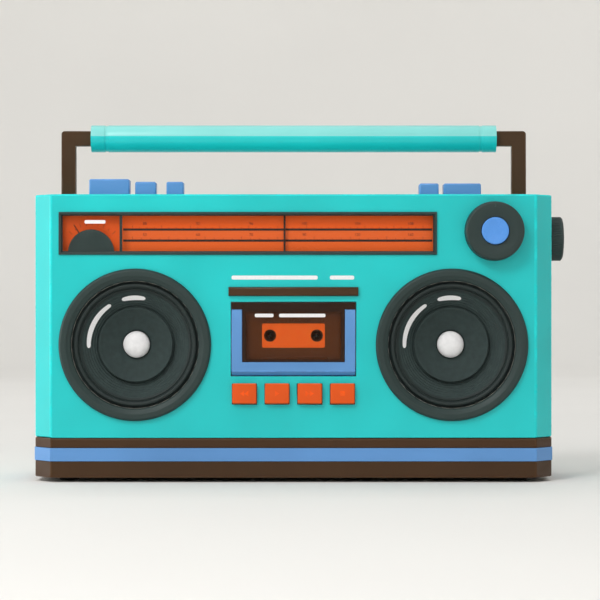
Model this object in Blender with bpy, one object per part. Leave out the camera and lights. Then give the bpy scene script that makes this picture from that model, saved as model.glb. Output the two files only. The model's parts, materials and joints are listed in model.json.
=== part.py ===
"""Portable stereo radio cassette player, as an assembly of separate pieces.

Everything is placed in the case's own frame: X to the right seen from the front, Y from the
front face (0) towards the back, Z up from the surface that the feet stand on. The empty
"case_frame" then moves the whole set, so that the world origin is the middle of the underside
of the object's bounding box.
"""

import math

import bmesh
import bpy
from mathutils import Matrix, Vector

# Gaps
SEAM = 0.0003  # between pieces that rest on or butt against each other
SLIDE = 0.0005  # around a piece that slides or turns in another
PIN_PLAY = 0.0004  # around the small pins of the battery door and the aerial
CUT = 0.005  # how far a cutter runs past the face that it cuts

# Case
CASE_WIDTH = 0.472
CASE_HEIGHT = 0.257  # base moulding and shells, without the feet
CASE_DEPTH = 0.125
FRONT_DEPTH = 0.070  # front face to the seam with the rear shell
WALL = 0.003
CORNER_WIDTH = 0.016  # chamfer of the front uprights, along X
CORNER_DEPTH = 0.020  # the same chamfer, along Y
BASE_HEIGHT = 0.036
FOOT_HEIGHT = 0.004
FOOT_RADIUS = 0.009
FOOT_PEG_RADIUS = 0.0025
FOOT_INSET = 0.030
TRIM_RISE = 0.0147  # base underside to the trim strip
TRIM_HEIGHT = 0.0126
TRIM_PROUD = 0.0006
TRIM_SEAT = 0.0015  # depth of the groove that the strip snaps into
LEDGE_DEPTH = 0.010  # step along the top of the back, where the aerial lies
LEDGE_DROP = 0.053
POST_RADIUS = 0.003  # posts that carry the tape drive
POST_MARGIN = 0.004  # middle of a post to the edge of the chassis
EAR_WIDTH = 0.005  # ears that hold the cassette door's pins
EAR_REACH = 0.004  # hinge axis to the back of an ear

# Handle
HANDLE_INSET = 0.0235  # side of the case to the middle of an arm
HANDLE_REACH = 0.0745  # pivot to the middle of the grip
HANDLE_SETBACK = 0.023  # ledge wall to the pivot
PIVOT_DROP = 0.018  # top of the case to the pivot
ARM_WIDTH = 0.0133
ARM_DEPTH = 0.012
ARM_BAR = 0.014  # height of the arm's upper bar
EYE_RADIUS = 0.008
PIN_RADIUS = 0.003
GRIP_RADIUS = 0.0127
GRIP_SETBACK = 0.0215  # middle of an arm to the end of the grip
SPIGOT_RADIUS = 0.005
SPIGOT_LENGTH = 0.012
ARM_CHAMFER = 0.002

# Radio dial
DIAL_INSET = 0.0257  # side of the case to the dial aperture
DIAL_DROP = 0.0184  # top of the case to the dial aperture
DIAL_HEIGHT = 0.0344
DIAL_RIM = 0.0022  # what the bezel shows around the aperture
DIAL_SLEEVE = 0.0012  # wall of the bezel inside the case
DIAL_LIP = 0.0012  # what the window rests on, all round and at the divider
BEZEL_PROUD = 0.0018
WINDOW_PROUD = 0.0012
METER_WIDTH = 0.054
METER_HUB_RADIUS = 0.0209
NEEDLE_LENGTH = 0.030
NEEDLE_ANGLE = math.radians(32.6)  # at rest, left of upright
WINDOW_THICKNESS = 0.0018
PLATE_THICKNESS = 0.0012
PLATE_SETBACK = 0.009  # front face to the dial plate
PLATE_MARGIN = 0.003  # each end of the plate, behind the case front
NEEDLE_GAP = 0.0024  # dial plate to the front of the needle
NEEDLE_BORE = 0.0015
POINTER_WIDTH = 0.0018
POINTER_GAP = 0.0028  # dial plate to the back of the pointer
SADDLE_WIDTH = 0.012  # what hangs the pointer on the top of the plate
POINTER_SHARE = 0.522  # where the pointer stands along the tuning scale

# Volume knob on the front, tuning knob on the right side
VOLUME_RADIUS = 0.027
VOLUME_HEIGHT = 0.013
VOLUME_CAP_RADIUS = 0.0123
VOLUME_CAP_PROUD = 0.0015
KNOB_GAP = 0.001  # behind a knob
VOLUME_INSET = 0.0543  # side of the case to the knob's axis
DIAL_TO_VOLUME = 0.027  # dial aperture to the rim of the volume knob
TUNING_RADIUS = 0.0203
TUNING_HEIGHT = 0.0122
TUNING_SETBACK = 0.048
SHAFT_RADIUS = 0.003
CAP_SEAT = 0.004  # depth of the dish that the cap sits in
DRUM_RADIUS = 0.0063  # cord drum on the tuning shaft
DRUM_WIDTH = 0.006
CONTROL_RADIUS = 0.0085  # body of the volume control
CONTROL_DEPTH = 0.010
BOARD_SETBACK = 0.034
BOARD_THICKNESS = 0.0016

# Speakers
SPEAKER_RADIUS = 0.069
RING_FLANGE = 0.008  # how far the ring lies on the front wall
SPEAKER_INSET = 0.0925  # side of the case to the speaker's axis
SPEAKER_RISE = 0.0155  # bottom of the shells to the edge of the ring
RING_PROUD = 0.0045
SURROUND_WIDTH = 0.0078
WHIZZER_STEP = 0.0168  # edge of the cone to the edge of the whizzer cone
DUST_CAP_RADIUS = 0.0118
MAGNET_RADIUS = 0.036
SPEAKER_DEPTH = 0.052
COIL_WALL = 0.0008
COIL_END = 0.040
COIL_GAP = 0.001  # each side of the coil, in the magnet
MAGNET_FRONT = 0.034
MAGNET_PLATE = 0.002
BASKET_WALL = 0.0015
BASKET_FLANGE = 0.005  # how far it lies behind the front wall

# Cassette, the standard compact size
TAPE_WIDTH = 0.1004
TAPE_HEIGHT = 0.0638
TAPE_THICKNESS = 0.0087
TAPE_BULGE = 0.00165  # how far the thick lower part stands out on each face
TAPE_BULGE_HEIGHT = 0.015
HUB_SPACING = 0.0425
HUB_RISE = 0.0348  # open edge to the middle of the hubs
HUB_RADIUS = 0.0052
HUB_BORE = 0.0043
CAPSTAN_OFFSET = 0.020
CAPSTAN_RISE = 0.006

# Cassette door
DOOR_MARGIN = 0.0058  # each side of the cassette
DOOR_RISE = 0.0567  # bottom of the shells to the bottom of the door
DOOR_HEADROOM = 0.0022  # what the door is taller than the cassette
DOOR_PROUD = 0.001
DOOR_THICKNESS = 0.004
DOOR_GAP = 0.0008
DOOR_SIDE = 0.0093
DOOR_SILL = 0.012
DOOR_BROW = 0.006
DOOR_BEVEL = 0.0038
HINGE_SETBACK = 0.006
HINGE_RISE = 0.0045  # bottom of the door to its axis
HINGE_PIN_RADIUS = 0.0015
TAPE_SETBACK = 0.005  # front face to the cassette
HOLDER_WALL = 0.0027
HOOD_GAP = 0.006
HOOD_HEIGHT = 0.0081
HOOD_OVERHANG = 0.0027
HOOD_PROUD = 0.0033
HOOD_PEG_RADIUS = 0.0016
HOOD_PEG_SHARE = 0.4  # of the door's width, from the middle to a peg
TAPE_PLAY = 0.0006  # each side of the cassette in its holder
TAPE_STOP = 0.0016  # thickness of the holder's back

# Tape drive
CHASSIS_SETBACK = 0.0178
CHASSIS_THICKNESS = 0.002
FLYWHEEL_RADIUS = 0.023
FLYWHEEL_THICKNESS = 0.007
CAPSTAN_RADIUS = 0.00125
SPINDLE_RADIUS = 0.0027
PULLEY_RADIUS = 0.005
PULLEY_OFFSET = 0.035
MOTOR_RADIUS = 0.015
MOTOR_LENGTH = 0.025
BELT_THICKNESS = 0.0012
BELT_WIDTH = 0.004
SPINDLE_NECK = 0.0018
SPINDLE_COLLAR = 0.006
SPINDLE_WHEEL = 0.009
MOTOR_SHAFT = 0.001
BRIDGE_HALF = 0.030
BRIDGE_HEIGHT = 0.012
ROLLER_RADIUS = 0.0045

# Buttons
KEY_WIDTH = 0.0219
KEY_HEIGHT = 0.0182
KEY_PITCH = 0.0296
KEY_PROUD = 0.005
KEY_RISE = 0.040  # bottom of the shells to the middle of the keys
KEY_EDGE = 0.0012
KEY_FLANGE = 0.002  # what stops a key behind the front or the top
KEY_STEM_END = 0.026
KEY_NAMES = ("rewind", "play", "forward", "stop")
TOP_KEY_DEPTH = 0.018
TOP_KEY_SETBACK = 0.034
TOP_KEY_EDGE = 0.001
# (name, side of the case nearest, distance from it to the middle, width, height above the case)
TOP_KEYS = (
    ("power", -1, 0.0672, 0.0370, 0.0150),
    ("band", -1, 0.1004, 0.0192, 0.0125),
    ("mode", -1, 0.1274, 0.0158, 0.0125),
    ("tone", 1, 0.1118, 0.0179, 0.0110),
    ("bass", 1, 0.0813, 0.0344, 0.0110),
)

# Battery bay, mains inlet and transformer
CELL_RADIUS = 0.0171
CELL_LENGTH = 0.0615
CELLS_IN_ROW = 3
CELL_ROWS = 2
BAY_CLEARANCE = 0.004
BAY_RISE = 0.010  # bottom of the shells to the floor of the bay
LID_GAP = 0.0005
LID_THICKNESS = 0.0025
LID_LIP = 0.0012
LID_PIN_RADIUS = 0.0009
LID_PIN_LENGTH = 0.0015
THUMB_HALF = 0.012  # half the width of the thumb lip
INLET_WIDTH = 0.0250
INLET_HEIGHT = 0.0170
INLET_DEPTH = 0.0160
INLET_INSET = 0.046
SOCKET_WIDTH = 0.0165
SOCKET_HEIGHT = 0.0085
INLET_FLANGE = 0.003
TRANSFORMER = (0.050, 0.042, 0.040)
TRANSFORMER_INSET = 0.099

# Telescopic aerial
TUBE_RADII = (0.0035, 0.0027, 0.0017)
TUBE_BORES = (0.0030, 0.0020)
TUBE_LENGTH = 0.216
KNUCKLE_RADIUS = 0.0055
AERIAL_INSET = 0.012
TIP_RADIUS = 0.0034
TIP_LENGTH = 0.006
KNUCKLE_HALF = 0.0037
STUB_RADIUS = 0.002  # of the knuckle, through the ledge wall

# Roundness, as the number of sides
FINE = 32
ROUND = 20
SMALL = 12

# Levels and places that several pieces share
HALF_WIDTH = CASE_WIDTH / 2
BASE_BOTTOM = FOOT_HEIGHT
BODY_BOTTOM = FOOT_HEIGHT + BASE_HEIGHT
CASE_TOP = FOOT_HEIGHT + CASE_HEIGHT
LEDGE_Z = CASE_TOP - LEDGE_DROP
LEDGE_Y = CASE_DEPTH - LEDGE_DEPTH
HANDLE_X = HALF_WIDTH - HANDLE_INSET
HANDLE_Y = LEDGE_Y - HANDLE_SETBACK
PIVOT_Z = CASE_TOP - PIVOT_DROP
GRIP_Z = PIVOT_Z + HANDLE_REACH
GRIP_HALF = HANDLE_X - GRIP_SETBACK
VOLUME_X = HALF_WIDTH - VOLUME_INSET
DIAL_LEFT = -HALF_WIDTH + DIAL_INSET
DIAL_RIGHT = VOLUME_X - VOLUME_RADIUS - DIAL_TO_VOLUME
DIAL_TOP = CASE_TOP - DIAL_DROP
DIAL_BOTTOM = DIAL_TOP - DIAL_HEIGHT
DIAL_Z = (DIAL_TOP + DIAL_BOTTOM) / 2
KNOB_Z = DIAL_Z + 0.002
DIVIDER_X = DIAL_LEFT + METER_WIDTH
METER_X = DIAL_LEFT + METER_WIDTH / 2
POINTER_X = DIVIDER_X + POINTER_SHARE * (DIAL_RIGHT - DIVIDER_X)
PLATE_TOP = DIAL_TOP + 0.001
TUNING_Z = KNOB_Z - 0.0057
SPEAKER_HOLE = SPEAKER_RADIUS - RING_FLANGE
MOUTH_RADIUS = SPEAKER_HOLE - 0.0032  # inside the ring
CONE_RADIUS = MOUTH_RADIUS - SURROUND_WIDTH
WHIZZER_RADIUS = CONE_RADIUS - WHIZZER_STEP
SPEAKER_X = HALF_WIDTH - SPEAKER_INSET
SPEAKER_Z = BODY_BOTTOM + SPEAKER_RISE + SPEAKER_RADIUS
FRAME_Y = WALL + SEAM  # front of what is fixed behind the front wall
DOOR_WIDTH = TAPE_WIDTH + 2 * DOOR_MARGIN
DOOR_HEIGHT = TAPE_HEIGHT + DOOR_HEADROOM
DOOR_BOTTOM = BODY_BOTTOM + DOOR_RISE
DOOR_TOP = DOOR_BOTTOM + DOOR_HEIGHT
DOOR_BACK = DOOR_THICKNESS - DOOR_PROUD
HINGE_Z = DOOR_BOTTOM + HINGE_RISE
TAPE_BOTTOM = DOOR_BOTTOM + 0.0013
TAPE_BACK = TAPE_SETBACK + TAPE_THICKNESS
HUB_Z = TAPE_BOTTOM + HUB_RISE
HUB_X = HUB_SPACING / 2
CAPSTAN_Z = TAPE_BOTTOM + CAPSTAN_RISE
HOOD_BOTTOM = DOOR_TOP + HOOD_GAP
HOOD_TOP = HOOD_BOTTOM + HOOD_HEIGHT
CHASSIS_BACK = CHASSIS_SETBACK + CHASSIS_THICKNESS
FLYWHEEL_Y = CHASSIS_BACK + 0.0042
BELT_Y = FLYWHEEL_Y + FLYWHEEL_THICKNESS / 2
PULLEY_X = -PULLEY_OFFSET
KEY_Z = BODY_BOTTOM + KEY_RISE
KEY_BOTTOM = KEY_Z - KEY_HEIGHT / 2
BAY_LENGTH = CELLS_IN_ROW * CELL_LENGTH + 4 * BAY_CLEARANCE
BAY_HEIGHT = CELL_ROWS * 2 * CELL_RADIUS + BAY_CLEARANCE
BAY_DEPTH = 2 * CELL_RADIUS + BAY_CLEARANCE
BAY_BOTTOM = BODY_BOTTOM + BAY_RISE
BAY_TOP = BAY_BOTTOM + BAY_HEIGHT
BAY_FRONT = CASE_DEPTH - LID_THICKNESS - BAY_DEPTH
LID_Y = CASE_DEPTH - LID_THICKNESS / 2
LID_Z = BAY_BOTTOM + 0.0025
INLET_X = HALF_WIDTH - INLET_INSET
INLET_Z = BODY_BOTTOM + 0.030
AERIAL_X = HALF_WIDTH - AERIAL_INSET
AERIAL_Y = CASE_DEPTH - LEDGE_DEPTH / 2
AERIAL_Z = LEDGE_Z + KNUCKLE_RADIUS + SLIDE
FRONT_MOST = -KNOB_GAP - VOLUME_HEIGHT - VOLUME_CAP_PROUD

# The middle of the underside of the bounding box, in the case's frame
ORIGIN = Vector(
    (
        ((HALF_WIDTH + SEAM + TUNING_HEIGHT) - (HALF_WIDTH + TRIM_PROUD)) / 2,
        (FRONT_MOST + CASE_DEPTH + LID_LIP) / 2,
        0,
    )
)


# --- Shapes, each a bmesh in the case's frame -------------------------------------------------

PLANES = {"X": (1, 2, 0), "Y": (0, 2, 1), "Z": (0, 1, 2)}


def point(axis, u, v, along):
    """The point at (u, v) in the plane across axis, this far along it."""
    place = [0, 0, 0]
    for slot, value in zip(PLANES[axis], (u, v, along)):
        place[slot] = value
    return Vector(place)


def outward(shape):
    """The shape with its doubles merged and its faces pointing out."""
    bmesh.ops.remove_doubles(shape, verts=shape.verts, dist=1e-6)
    bmesh.ops.recalc_face_normals(shape, faces=shape.faces)
    return shape


def block(x, y, z):
    """A box between the two values of each pair."""
    shape = bmesh.new()
    bmesh.ops.create_cube(shape, size=1)
    low, high = (Vector((x[i], y[i], z[i])) for i in (0, 1))
    size = high - low
    bmesh.ops.scale(shape, vec=size, verts=shape.verts)
    bmesh.ops.translate(shape, vec=(low + high) / 2, verts=shape.verts)
    return outward(shape)


def prism(outline, axis, span):
    """A flat outline drawn across axis, extruded along it over the span."""
    shape = bmesh.new()
    corners = [shape.verts.new(point(axis, u, v, span[0])) for u, v in outline]
    face = shape.faces.new(corners)
    grown = bmesh.ops.extrude_face_region(shape, geom=[face])["geom"]
    moved = [item for item in grown if isinstance(item, bmesh.types.BMVert)]
    bmesh.ops.translate(shape, vec=point(axis, 0, 0, span[1] - span[0]), verts=moved)
    return outward(shape)


def turned(profile, axis, centre, sides, closed=True):
    """A (radius, along) profile spun about axis. An open profile starts and ends on the axis."""
    shape = bmesh.new()
    u, v = centre
    corners = [shape.verts.new(point(axis, u + radius, v, along)) for radius, along in profile]
    links = list(zip(corners, corners[1:]))
    if closed:
        links.append((corners[-1], corners[0]))
    edges = [shape.edges.new(pair) for pair in links]
    bmesh.ops.spin(
        shape,
        geom=corners + edges,
        cent=point(axis, u, v, 0),
        axis=point(axis, 0, 0, 1),
        angle=math.tau,
        steps=sides,
        use_merge=True,
    )
    return outward(shape)


def rod(axis, centre, radius, span, sides=SMALL):
    """A plain round bar."""
    low, high = span
    return turned([(0, low), (radius, low), (radius, high), (0, high)], axis, centre, sides, False)


def tube(axis, centre, radii, span, sides=ROUND):
    """A bar with a bore right through: radii are (outer, bore)."""
    outer, bore = radii
    low, high = span
    return turned([(bore, low), (outer, low), (outer, high), (bore, high)], axis, centre, sides)


def together(*shapes):
    """Shapes that don't touch, as one cutter."""
    whole = bmesh.new()
    for shape in shapes:
        mesh = bpy.data.meshes.new("gathered")
        shape.to_mesh(mesh)
        whole.from_mesh(mesh)
        bpy.data.meshes.remove(mesh)
        shape.free()
    return whole


def plan_outline(grow, back):
    """The case seen from above, open at the back, with every face moved out by grow."""
    slope = math.hypot(CORNER_WIDTH, CORNER_DEPTH)
    front_x = HALF_WIDTH - CORNER_WIDTH + grow * (slope - CORNER_WIDTH) / CORNER_DEPTH
    side_x = HALF_WIDTH + grow
    side_y = (CORNER_DEPTH * (CORNER_WIDTH + grow) - grow * slope) / CORNER_WIDTH
    right = [(front_x, -grow), (side_x, side_y), (side_x, back)]
    return [(-x, y) for x, y in reversed(right)] + right


# --- Objects ----------------------------------------------------------------------------------


def make_materials():
    """One plain material for each finish: colour, roughness, metallic."""
    finishes = {
        "turquoise_plastic": ((0.035, 0.600, 0.578), 0.35, 0),
        "brown_plastic": ((0.070, 0.037, 0.022), 0.45, 0),
        "blue_plastic": ((0.130, 0.323, 0.638), 0.35, 0),
        "orange_plastic": ((0.708, 0.098, 0.024), 0.35, 0),
        "charcoal_plastic": ((0.044, 0.054, 0.055), 0.45, 0),
        "smoked_plastic": ((0.085, 0.037, 0.014), 0.15, 0),
        "clear_plastic": ((0.900, 0.920, 0.920), 0.05, 0),
        "speaker_paper": ((0.042, 0.057, 0.058), 0.75, 0),
        "white_paper": ((0.780, 0.760, 0.780), 0.60, 0),
        "black_rubber": ((0.020, 0.020, 0.020), 0.80, 0),
        "green_board": ((0.030, 0.160, 0.060), 0.55, 0),
        "steel": ((0.550, 0.550, 0.560), 0.30, 1),
        "chrome": ((0.750, 0.750, 0.760), 0.10, 1),
    }
    for name, (colour, roughness, metallic) in finishes.items():
        material = bpy.data.materials.new(name)
        material.use_nodes = True
        shader = material.node_tree.nodes["Principled BSDF"]
        shader.inputs["Base Color"].default_value = (*colour, 1)
        shader.inputs["Roughness"].default_value = roughness
        shader.inputs["Metallic"].default_value = metallic


def link(name, shape):
    """An object made from a shape, under the case's frame."""
    mesh = bpy.data.meshes.new(name)
    shape.to_mesh(mesh)
    shape.free()
    mesh.shade_smooth()
    mesh.set_sharp_from_angle(angle=math.radians(35))
    obj = bpy.data.objects.new(name, mesh)
    bpy.context.scene.collection.objects.link(obj)
    obj.parent = bpy.data.objects["case_frame"]
    return obj


def piece(name, shape, finish, pivot=None):
    """A node. A moving piece has its origin at pivot, a point on its joint's axis."""
    obj = link(name, shape)
    obj.data.materials.append(bpy.data.materials[finish])
    if pivot is not None:
        obj.data.transform(Matrix.Translation(-Vector(pivot)))
        obj.location = pivot
    return obj


def combine(obj, operation, shape):
    """Adds a Boolean with a hidden helper made from the shape."""
    helper = link(f"{operation.lower()}.{obj.name}.{len(obj.modifiers)}", shape)
    helper.hide_render = True
    helper.display_type = "WIRE"
    modifier = obj.modifiers.new(operation.title(), "BOOLEAN")
    modifier.operation = operation
    modifier.object = helper


def cut(obj, *shapes):
    combine(obj, "DIFFERENCE", together(*shapes))


def fuse(obj, *shapes):
    for shape in shapes:
        combine(obj, "UNION", shape)


def both_sides():
    return (("left", -1), ("right", 1))


def spread(middle, half):
    """The pair of values this far on each side of the middle."""
    return (middle - half, middle + half)


# --- Case -------------------------------------------------------------------------------------


def key_x(index):
    return (index - (len(KEY_NAMES) - 1) / 2) * KEY_PITCH


def top_key_x(side, distance):
    return side * (HALF_WIDTH - distance)


def dial_hole():
    """X and Z spans of the hole that the dial bezel's sleeve fills."""
    room = DIAL_SLEEVE + SEAM
    return (DIAL_LEFT - room, DIAL_RIGHT + room), (DIAL_BOTTOM - room, DIAL_TOP + room)


def chassis_posts():
    """Centres of the four posts that carry the tape drive's chassis."""
    x = DOOR_WIDTH / 2 + 4 * POST_RADIUS
    levels = (DOOR_BOTTOM - 0.0067, HOOD_BOTTOM - POST_RADIUS)
    return [(side * x, z) for side in (-1, 1) for z in levels]


def hood_pegs():
    """Centres of the two pegs that hold the hood."""
    z = (HOOD_BOTTOM + HOOD_TOP) / 2
    return [(side * DOOR_WIDTH * HOOD_PEG_SHARE, z) for side in (-1, 1)]


def make_front_shell():
    outer = prism(plan_outline(0, FRONT_DEPTH), "Z", (BODY_BOTTOM + SEAM, CASE_TOP))
    shell = piece("front_shell", outer, "turquoise_plastic")
    inner = plan_outline(-WALL, FRONT_DEPTH + CUT)
    cut(shell, prism(inner, "Z", (BODY_BOTTOM - CUT, CASE_TOP - WALL)))
    through = (-CUT, WALL + CUT)
    holes = [rod("Y", (side * SPEAKER_X, SPEAKER_Z), SPEAKER_HOLE, through, FINE) for side in (-1, 1)]
    dial_x, dial_z = dial_hole()
    holes.append(block(dial_x, through, dial_z))
    door_x = spread(0, DOOR_WIDTH / 2 + DOOR_GAP)
    holes.append(block(door_x, through, (DOOR_BOTTOM - DOOR_GAP, DOOR_TOP + DOOR_GAP)))
    key_z = spread(KEY_Z, KEY_HEIGHT / 2 + SLIDE)
    for index in range(len(KEY_NAMES)):
        holes.append(block(spread(key_x(index), KEY_WIDTH / 2 + SLIDE), through, key_z))
    holes.append(rod("Y", (VOLUME_X, KNOB_Z), SHAFT_RADIUS + SLIDE, through))
    for centre in hood_pegs():
        holes.append(rod("Y", centre, HOOD_PEG_RADIUS + SEAM, through))
    holes.append(
        rod("X", (TUNING_SETBACK, TUNING_Z), SHAFT_RADIUS + SLIDE, spread(HALF_WIDTH, CUT))
    )
    top_y = spread(TOP_KEY_SETBACK, TOP_KEY_DEPTH / 2 + SLIDE)
    for _, side, distance, width, _ in TOP_KEYS:
        span = spread(top_key_x(side, distance), width / 2 + SLIDE)
        holes.append(block(span, top_y, spread(CASE_TOP, CUT)))
    cut(shell, *holes)
    post_end = CHASSIS_SETBACK - SEAM
    for x, z in chassis_posts():
        fuse(shell, rod("Y", (x, z), POST_RADIUS, (WALL / 2, post_end)))
    hinge = (HINGE_SETBACK, HINGE_Z)
    for side in (-1, 1):
        middle = side * (DOOR_WIDTH / 2 + DOOR_GAP + EAR_WIDTH / 2)
        ear_y = (WALL / 2, HINGE_SETBACK + EAR_REACH)
        fuse(shell, block(spread(middle, EAR_WIDTH / 2), ear_y, spread(HINGE_Z, HINGE_RISE)))
        cut(shell, rod("X", hinge, HINGE_PIN_RADIUS + SEAM, spread(middle, EAR_WIDTH)))


def handle_slot():
    """Y and Z where the slot for a handle arm starts."""
    reach = EYE_RADIUS + SLIDE
    return HANDLE_Y - reach, PIVOT_Z - reach


def make_rear_shell():
    seam_y = FRONT_DEPTH + SEAM
    foot_z = BODY_BOTTOM + SEAM
    side_view = [
        (seam_y, foot_z),
        (CASE_DEPTH, foot_z),
        (CASE_DEPTH, LEDGE_Z),
        (LEDGE_Y, LEDGE_Z),
        (LEDGE_Y, CASE_TOP),
        (seam_y, CASE_TOP),
    ]
    shell = piece("rear_shell", prism(side_view, "X", (-HALF_WIDTH, HALF_WIDTH)), "turquoise_plastic")
    front, back, step = FRONT_DEPTH - CUT, CASE_DEPTH - WALL, LEDGE_Y - WALL
    low, middle, high = BODY_BOTTOM - CUT, LEDGE_Z - WALL, CASE_TOP - WALL
    hollow = [(front, low), (back, low), (back, middle), (step, middle), (step, high), (front, high)]
    cut(shell, prism(hollow, "X", spread(0, HALF_WIDTH - WALL)))
    slot_y, slot_z = handle_slot()
    half = ARM_WIDTH / 2 + SLIDE
    for side in (-1, 1):
        x = side * HANDLE_X
        pocket_y = (slot_y - WALL, LEDGE_Y - WALL / 2)
        pocket_z = (slot_z - WALL, CASE_TOP - WALL / 2)
        fuse(shell, block(spread(x, half + WALL), pocket_y, pocket_z))
    bay_x = spread(0, BAY_LENGTH / 2)
    lining = block(
        spread(0, BAY_LENGTH / 2 + WALL),
        (BAY_FRONT - WALL, CASE_DEPTH - WALL / 2),
        (BAY_BOTTOM - WALL, BAY_TOP + WALL),
    )
    fuse(shell, lining)
    openings = [block(bay_x, (BAY_FRONT, CASE_DEPTH + CUT), (BAY_BOTTOM, BAY_TOP))]
    for side in (-1, 1):
        x = side * HANDLE_X
        openings.append(block(spread(x, half), (slot_y, CASE_DEPTH + CUT), (slot_z, CASE_TOP + CUT)))
    inlet_x = spread(INLET_X, INLET_WIDTH / 2 + SEAM)
    inlet_z = spread(INLET_Z, INLET_HEIGHT / 2 + SEAM)
    openings.append(block(inlet_x, (CASE_DEPTH - WALL - CUT, CASE_DEPTH + CUT), inlet_z))
    cut(shell, *openings)
    bores = []
    for side in (-1, 1):
        span = spread(side * HANDLE_X, half + WALL + CUT)
        bores.append(rod("X", (HANDLE_Y, PIVOT_Z), PIN_RADIUS + SEAM, span))
    cut(shell, *bores)
    lid_pins = spread(0, BAY_LENGTH / 2 + WALL / 2)
    cut(shell, rod("X", (LID_Y, LID_Z), LID_PIN_RADIUS + PIN_PLAY, lid_pins))
    ledge_wall = (LEDGE_Y - WALL - CUT, LEDGE_Y + SLIDE)
    cut(shell, rod("Y", (AERIAL_X, AERIAL_Z), STUB_RADIUS + PIN_PLAY, ledge_wall))


def trim_band(outer, inner, z, back):
    """A U-shaped band round the front and sides, between two offsets of the plan."""
    loop = plan_outline(outer, back) + list(reversed(plan_outline(inner, back)))
    return prism(loop, "Z", z)


def feet():
    """(name, x, y) of each foot."""
    return [
        (f"foot_{end}_{side}", sign * (HALF_WIDTH - FOOT_INSET), y)
        for end, y in (("front", FOOT_INSET), ("rear", CASE_DEPTH - FOOT_INSET * 0.6))
        for side, sign in both_sides()
    ]


def make_base():
    outer = prism(plan_outline(0, CASE_DEPTH), "Z", (BASE_BOTTOM, BODY_BOTTOM))
    base = piece("base_moulding", outer, "brown_plastic")
    inner = plan_outline(-WALL, CASE_DEPTH - WALL)
    cut(base, prism(inner, "Z", (BASE_BOTTOM + WALL, BODY_BOTTOM + CUT)))
    low = BASE_BOTTOM + TRIM_RISE
    high = low + TRIM_HEIGHT
    end = CASE_DEPTH - CUT
    cut(base, trim_band(CUT, -TRIM_SEAT, (low, high), end))
    strip = trim_band(TRIM_PROUD, SEAM - TRIM_SEAT, (low + SEAM, high - SEAM), end - SEAM)
    piece("trim_strip", strip, "blue_plastic")
    pegs = []
    for name, x, y in feet():
        through = (BASE_BOTTOM - CUT, BASE_BOTTOM + WALL + CUT)
        pegs.append(rod("Z", (x, y), FOOT_PEG_RADIUS + SEAM, through))
        rim = FOOT_HEIGHT - SEAM
        profile = [
            (0, 0),
            (FOOT_RADIUS - 0.001, 0),
            (FOOT_RADIUS, 0.001),
            (FOOT_RADIUS, rim),
            (FOOT_PEG_RADIUS, rim),
            (FOOT_PEG_RADIUS, BASE_BOTTOM + WALL),
            (0, BASE_BOTTOM + WALL),
        ]
        piece(name, turned(profile, "Z", (x, y), ROUND, False), "black_rubber")
    cut(base, *pegs)


# --- Handle and aerial ------------------------------------------------------------------------


def make_handle():
    pivot = (0, HANDLE_Y, PIVOT_Z)
    edge = 0.001
    end = GRIP_HALF
    bore = SPIGOT_RADIUS + SEAM
    profile = [
        (bore, -end),
        (GRIP_RADIUS - edge, -end),
        (GRIP_RADIUS, edge - end),
        (GRIP_RADIUS, end - edge),
        (GRIP_RADIUS - edge, end),
        (bore, end),
    ]
    piece("handle_grip", turned(profile, "X", (HANDLE_Y, GRIP_Z), ROUND), "turquoise_plastic", pivot)
    half = ARM_WIDTH / 2
    bar = spread(GRIP_Z, ARM_BAR / 2)
    for name, side in both_sides():
        butt = GRIP_HALF + SEAM
        outline = [
            (HANDLE_X + half, PIVOT_Z),
            (HANDLE_X + half, bar[1] - ARM_CHAMFER),
            (HANDLE_X + half - ARM_CHAMFER, bar[1]),
            (butt, bar[1]),
            (butt, bar[0]),
            (HANDLE_X - half, bar[0]),
            (HANDLE_X - half, PIVOT_Z),
        ]
        corner = [(side * x, z) for x, z in outline]
        shape = prism(corner, "Y", spread(HANDLE_Y, ARM_DEPTH / 2))
        arm = piece(f"handle_arm_{name}", shape, "brown_plastic", pivot)
        eye = (HANDLE_Y, PIVOT_Z)
        fuse(arm, rod("X", eye, EYE_RADIUS, spread(side * HANDLE_X, half), ROUND))
        spigot = sorted((side * (butt + 0.002), side * (butt - SPIGOT_LENGTH)))
        fuse(arm, rod("X", (HANDLE_Y, GRIP_Z), SPIGOT_RADIUS, spigot))
        cut(arm, rod("X", eye, PIN_RADIUS + SEAM, spread(side * HANDLE_X, half + CUT)))
        span = spread(side * HANDLE_X, half + SLIDE + WALL - SEAM)
        piece(f"handle_pin_{name}", rod("X", eye, PIN_RADIUS, span), "steel")


def tube_start(index):
    """X of the inner end of a tube of the aerial: the first one, next to the knuckle, is 0."""
    return AERIAL_X - KNUCKLE_RADIUS - SEAM - index * 0.0125


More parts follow.
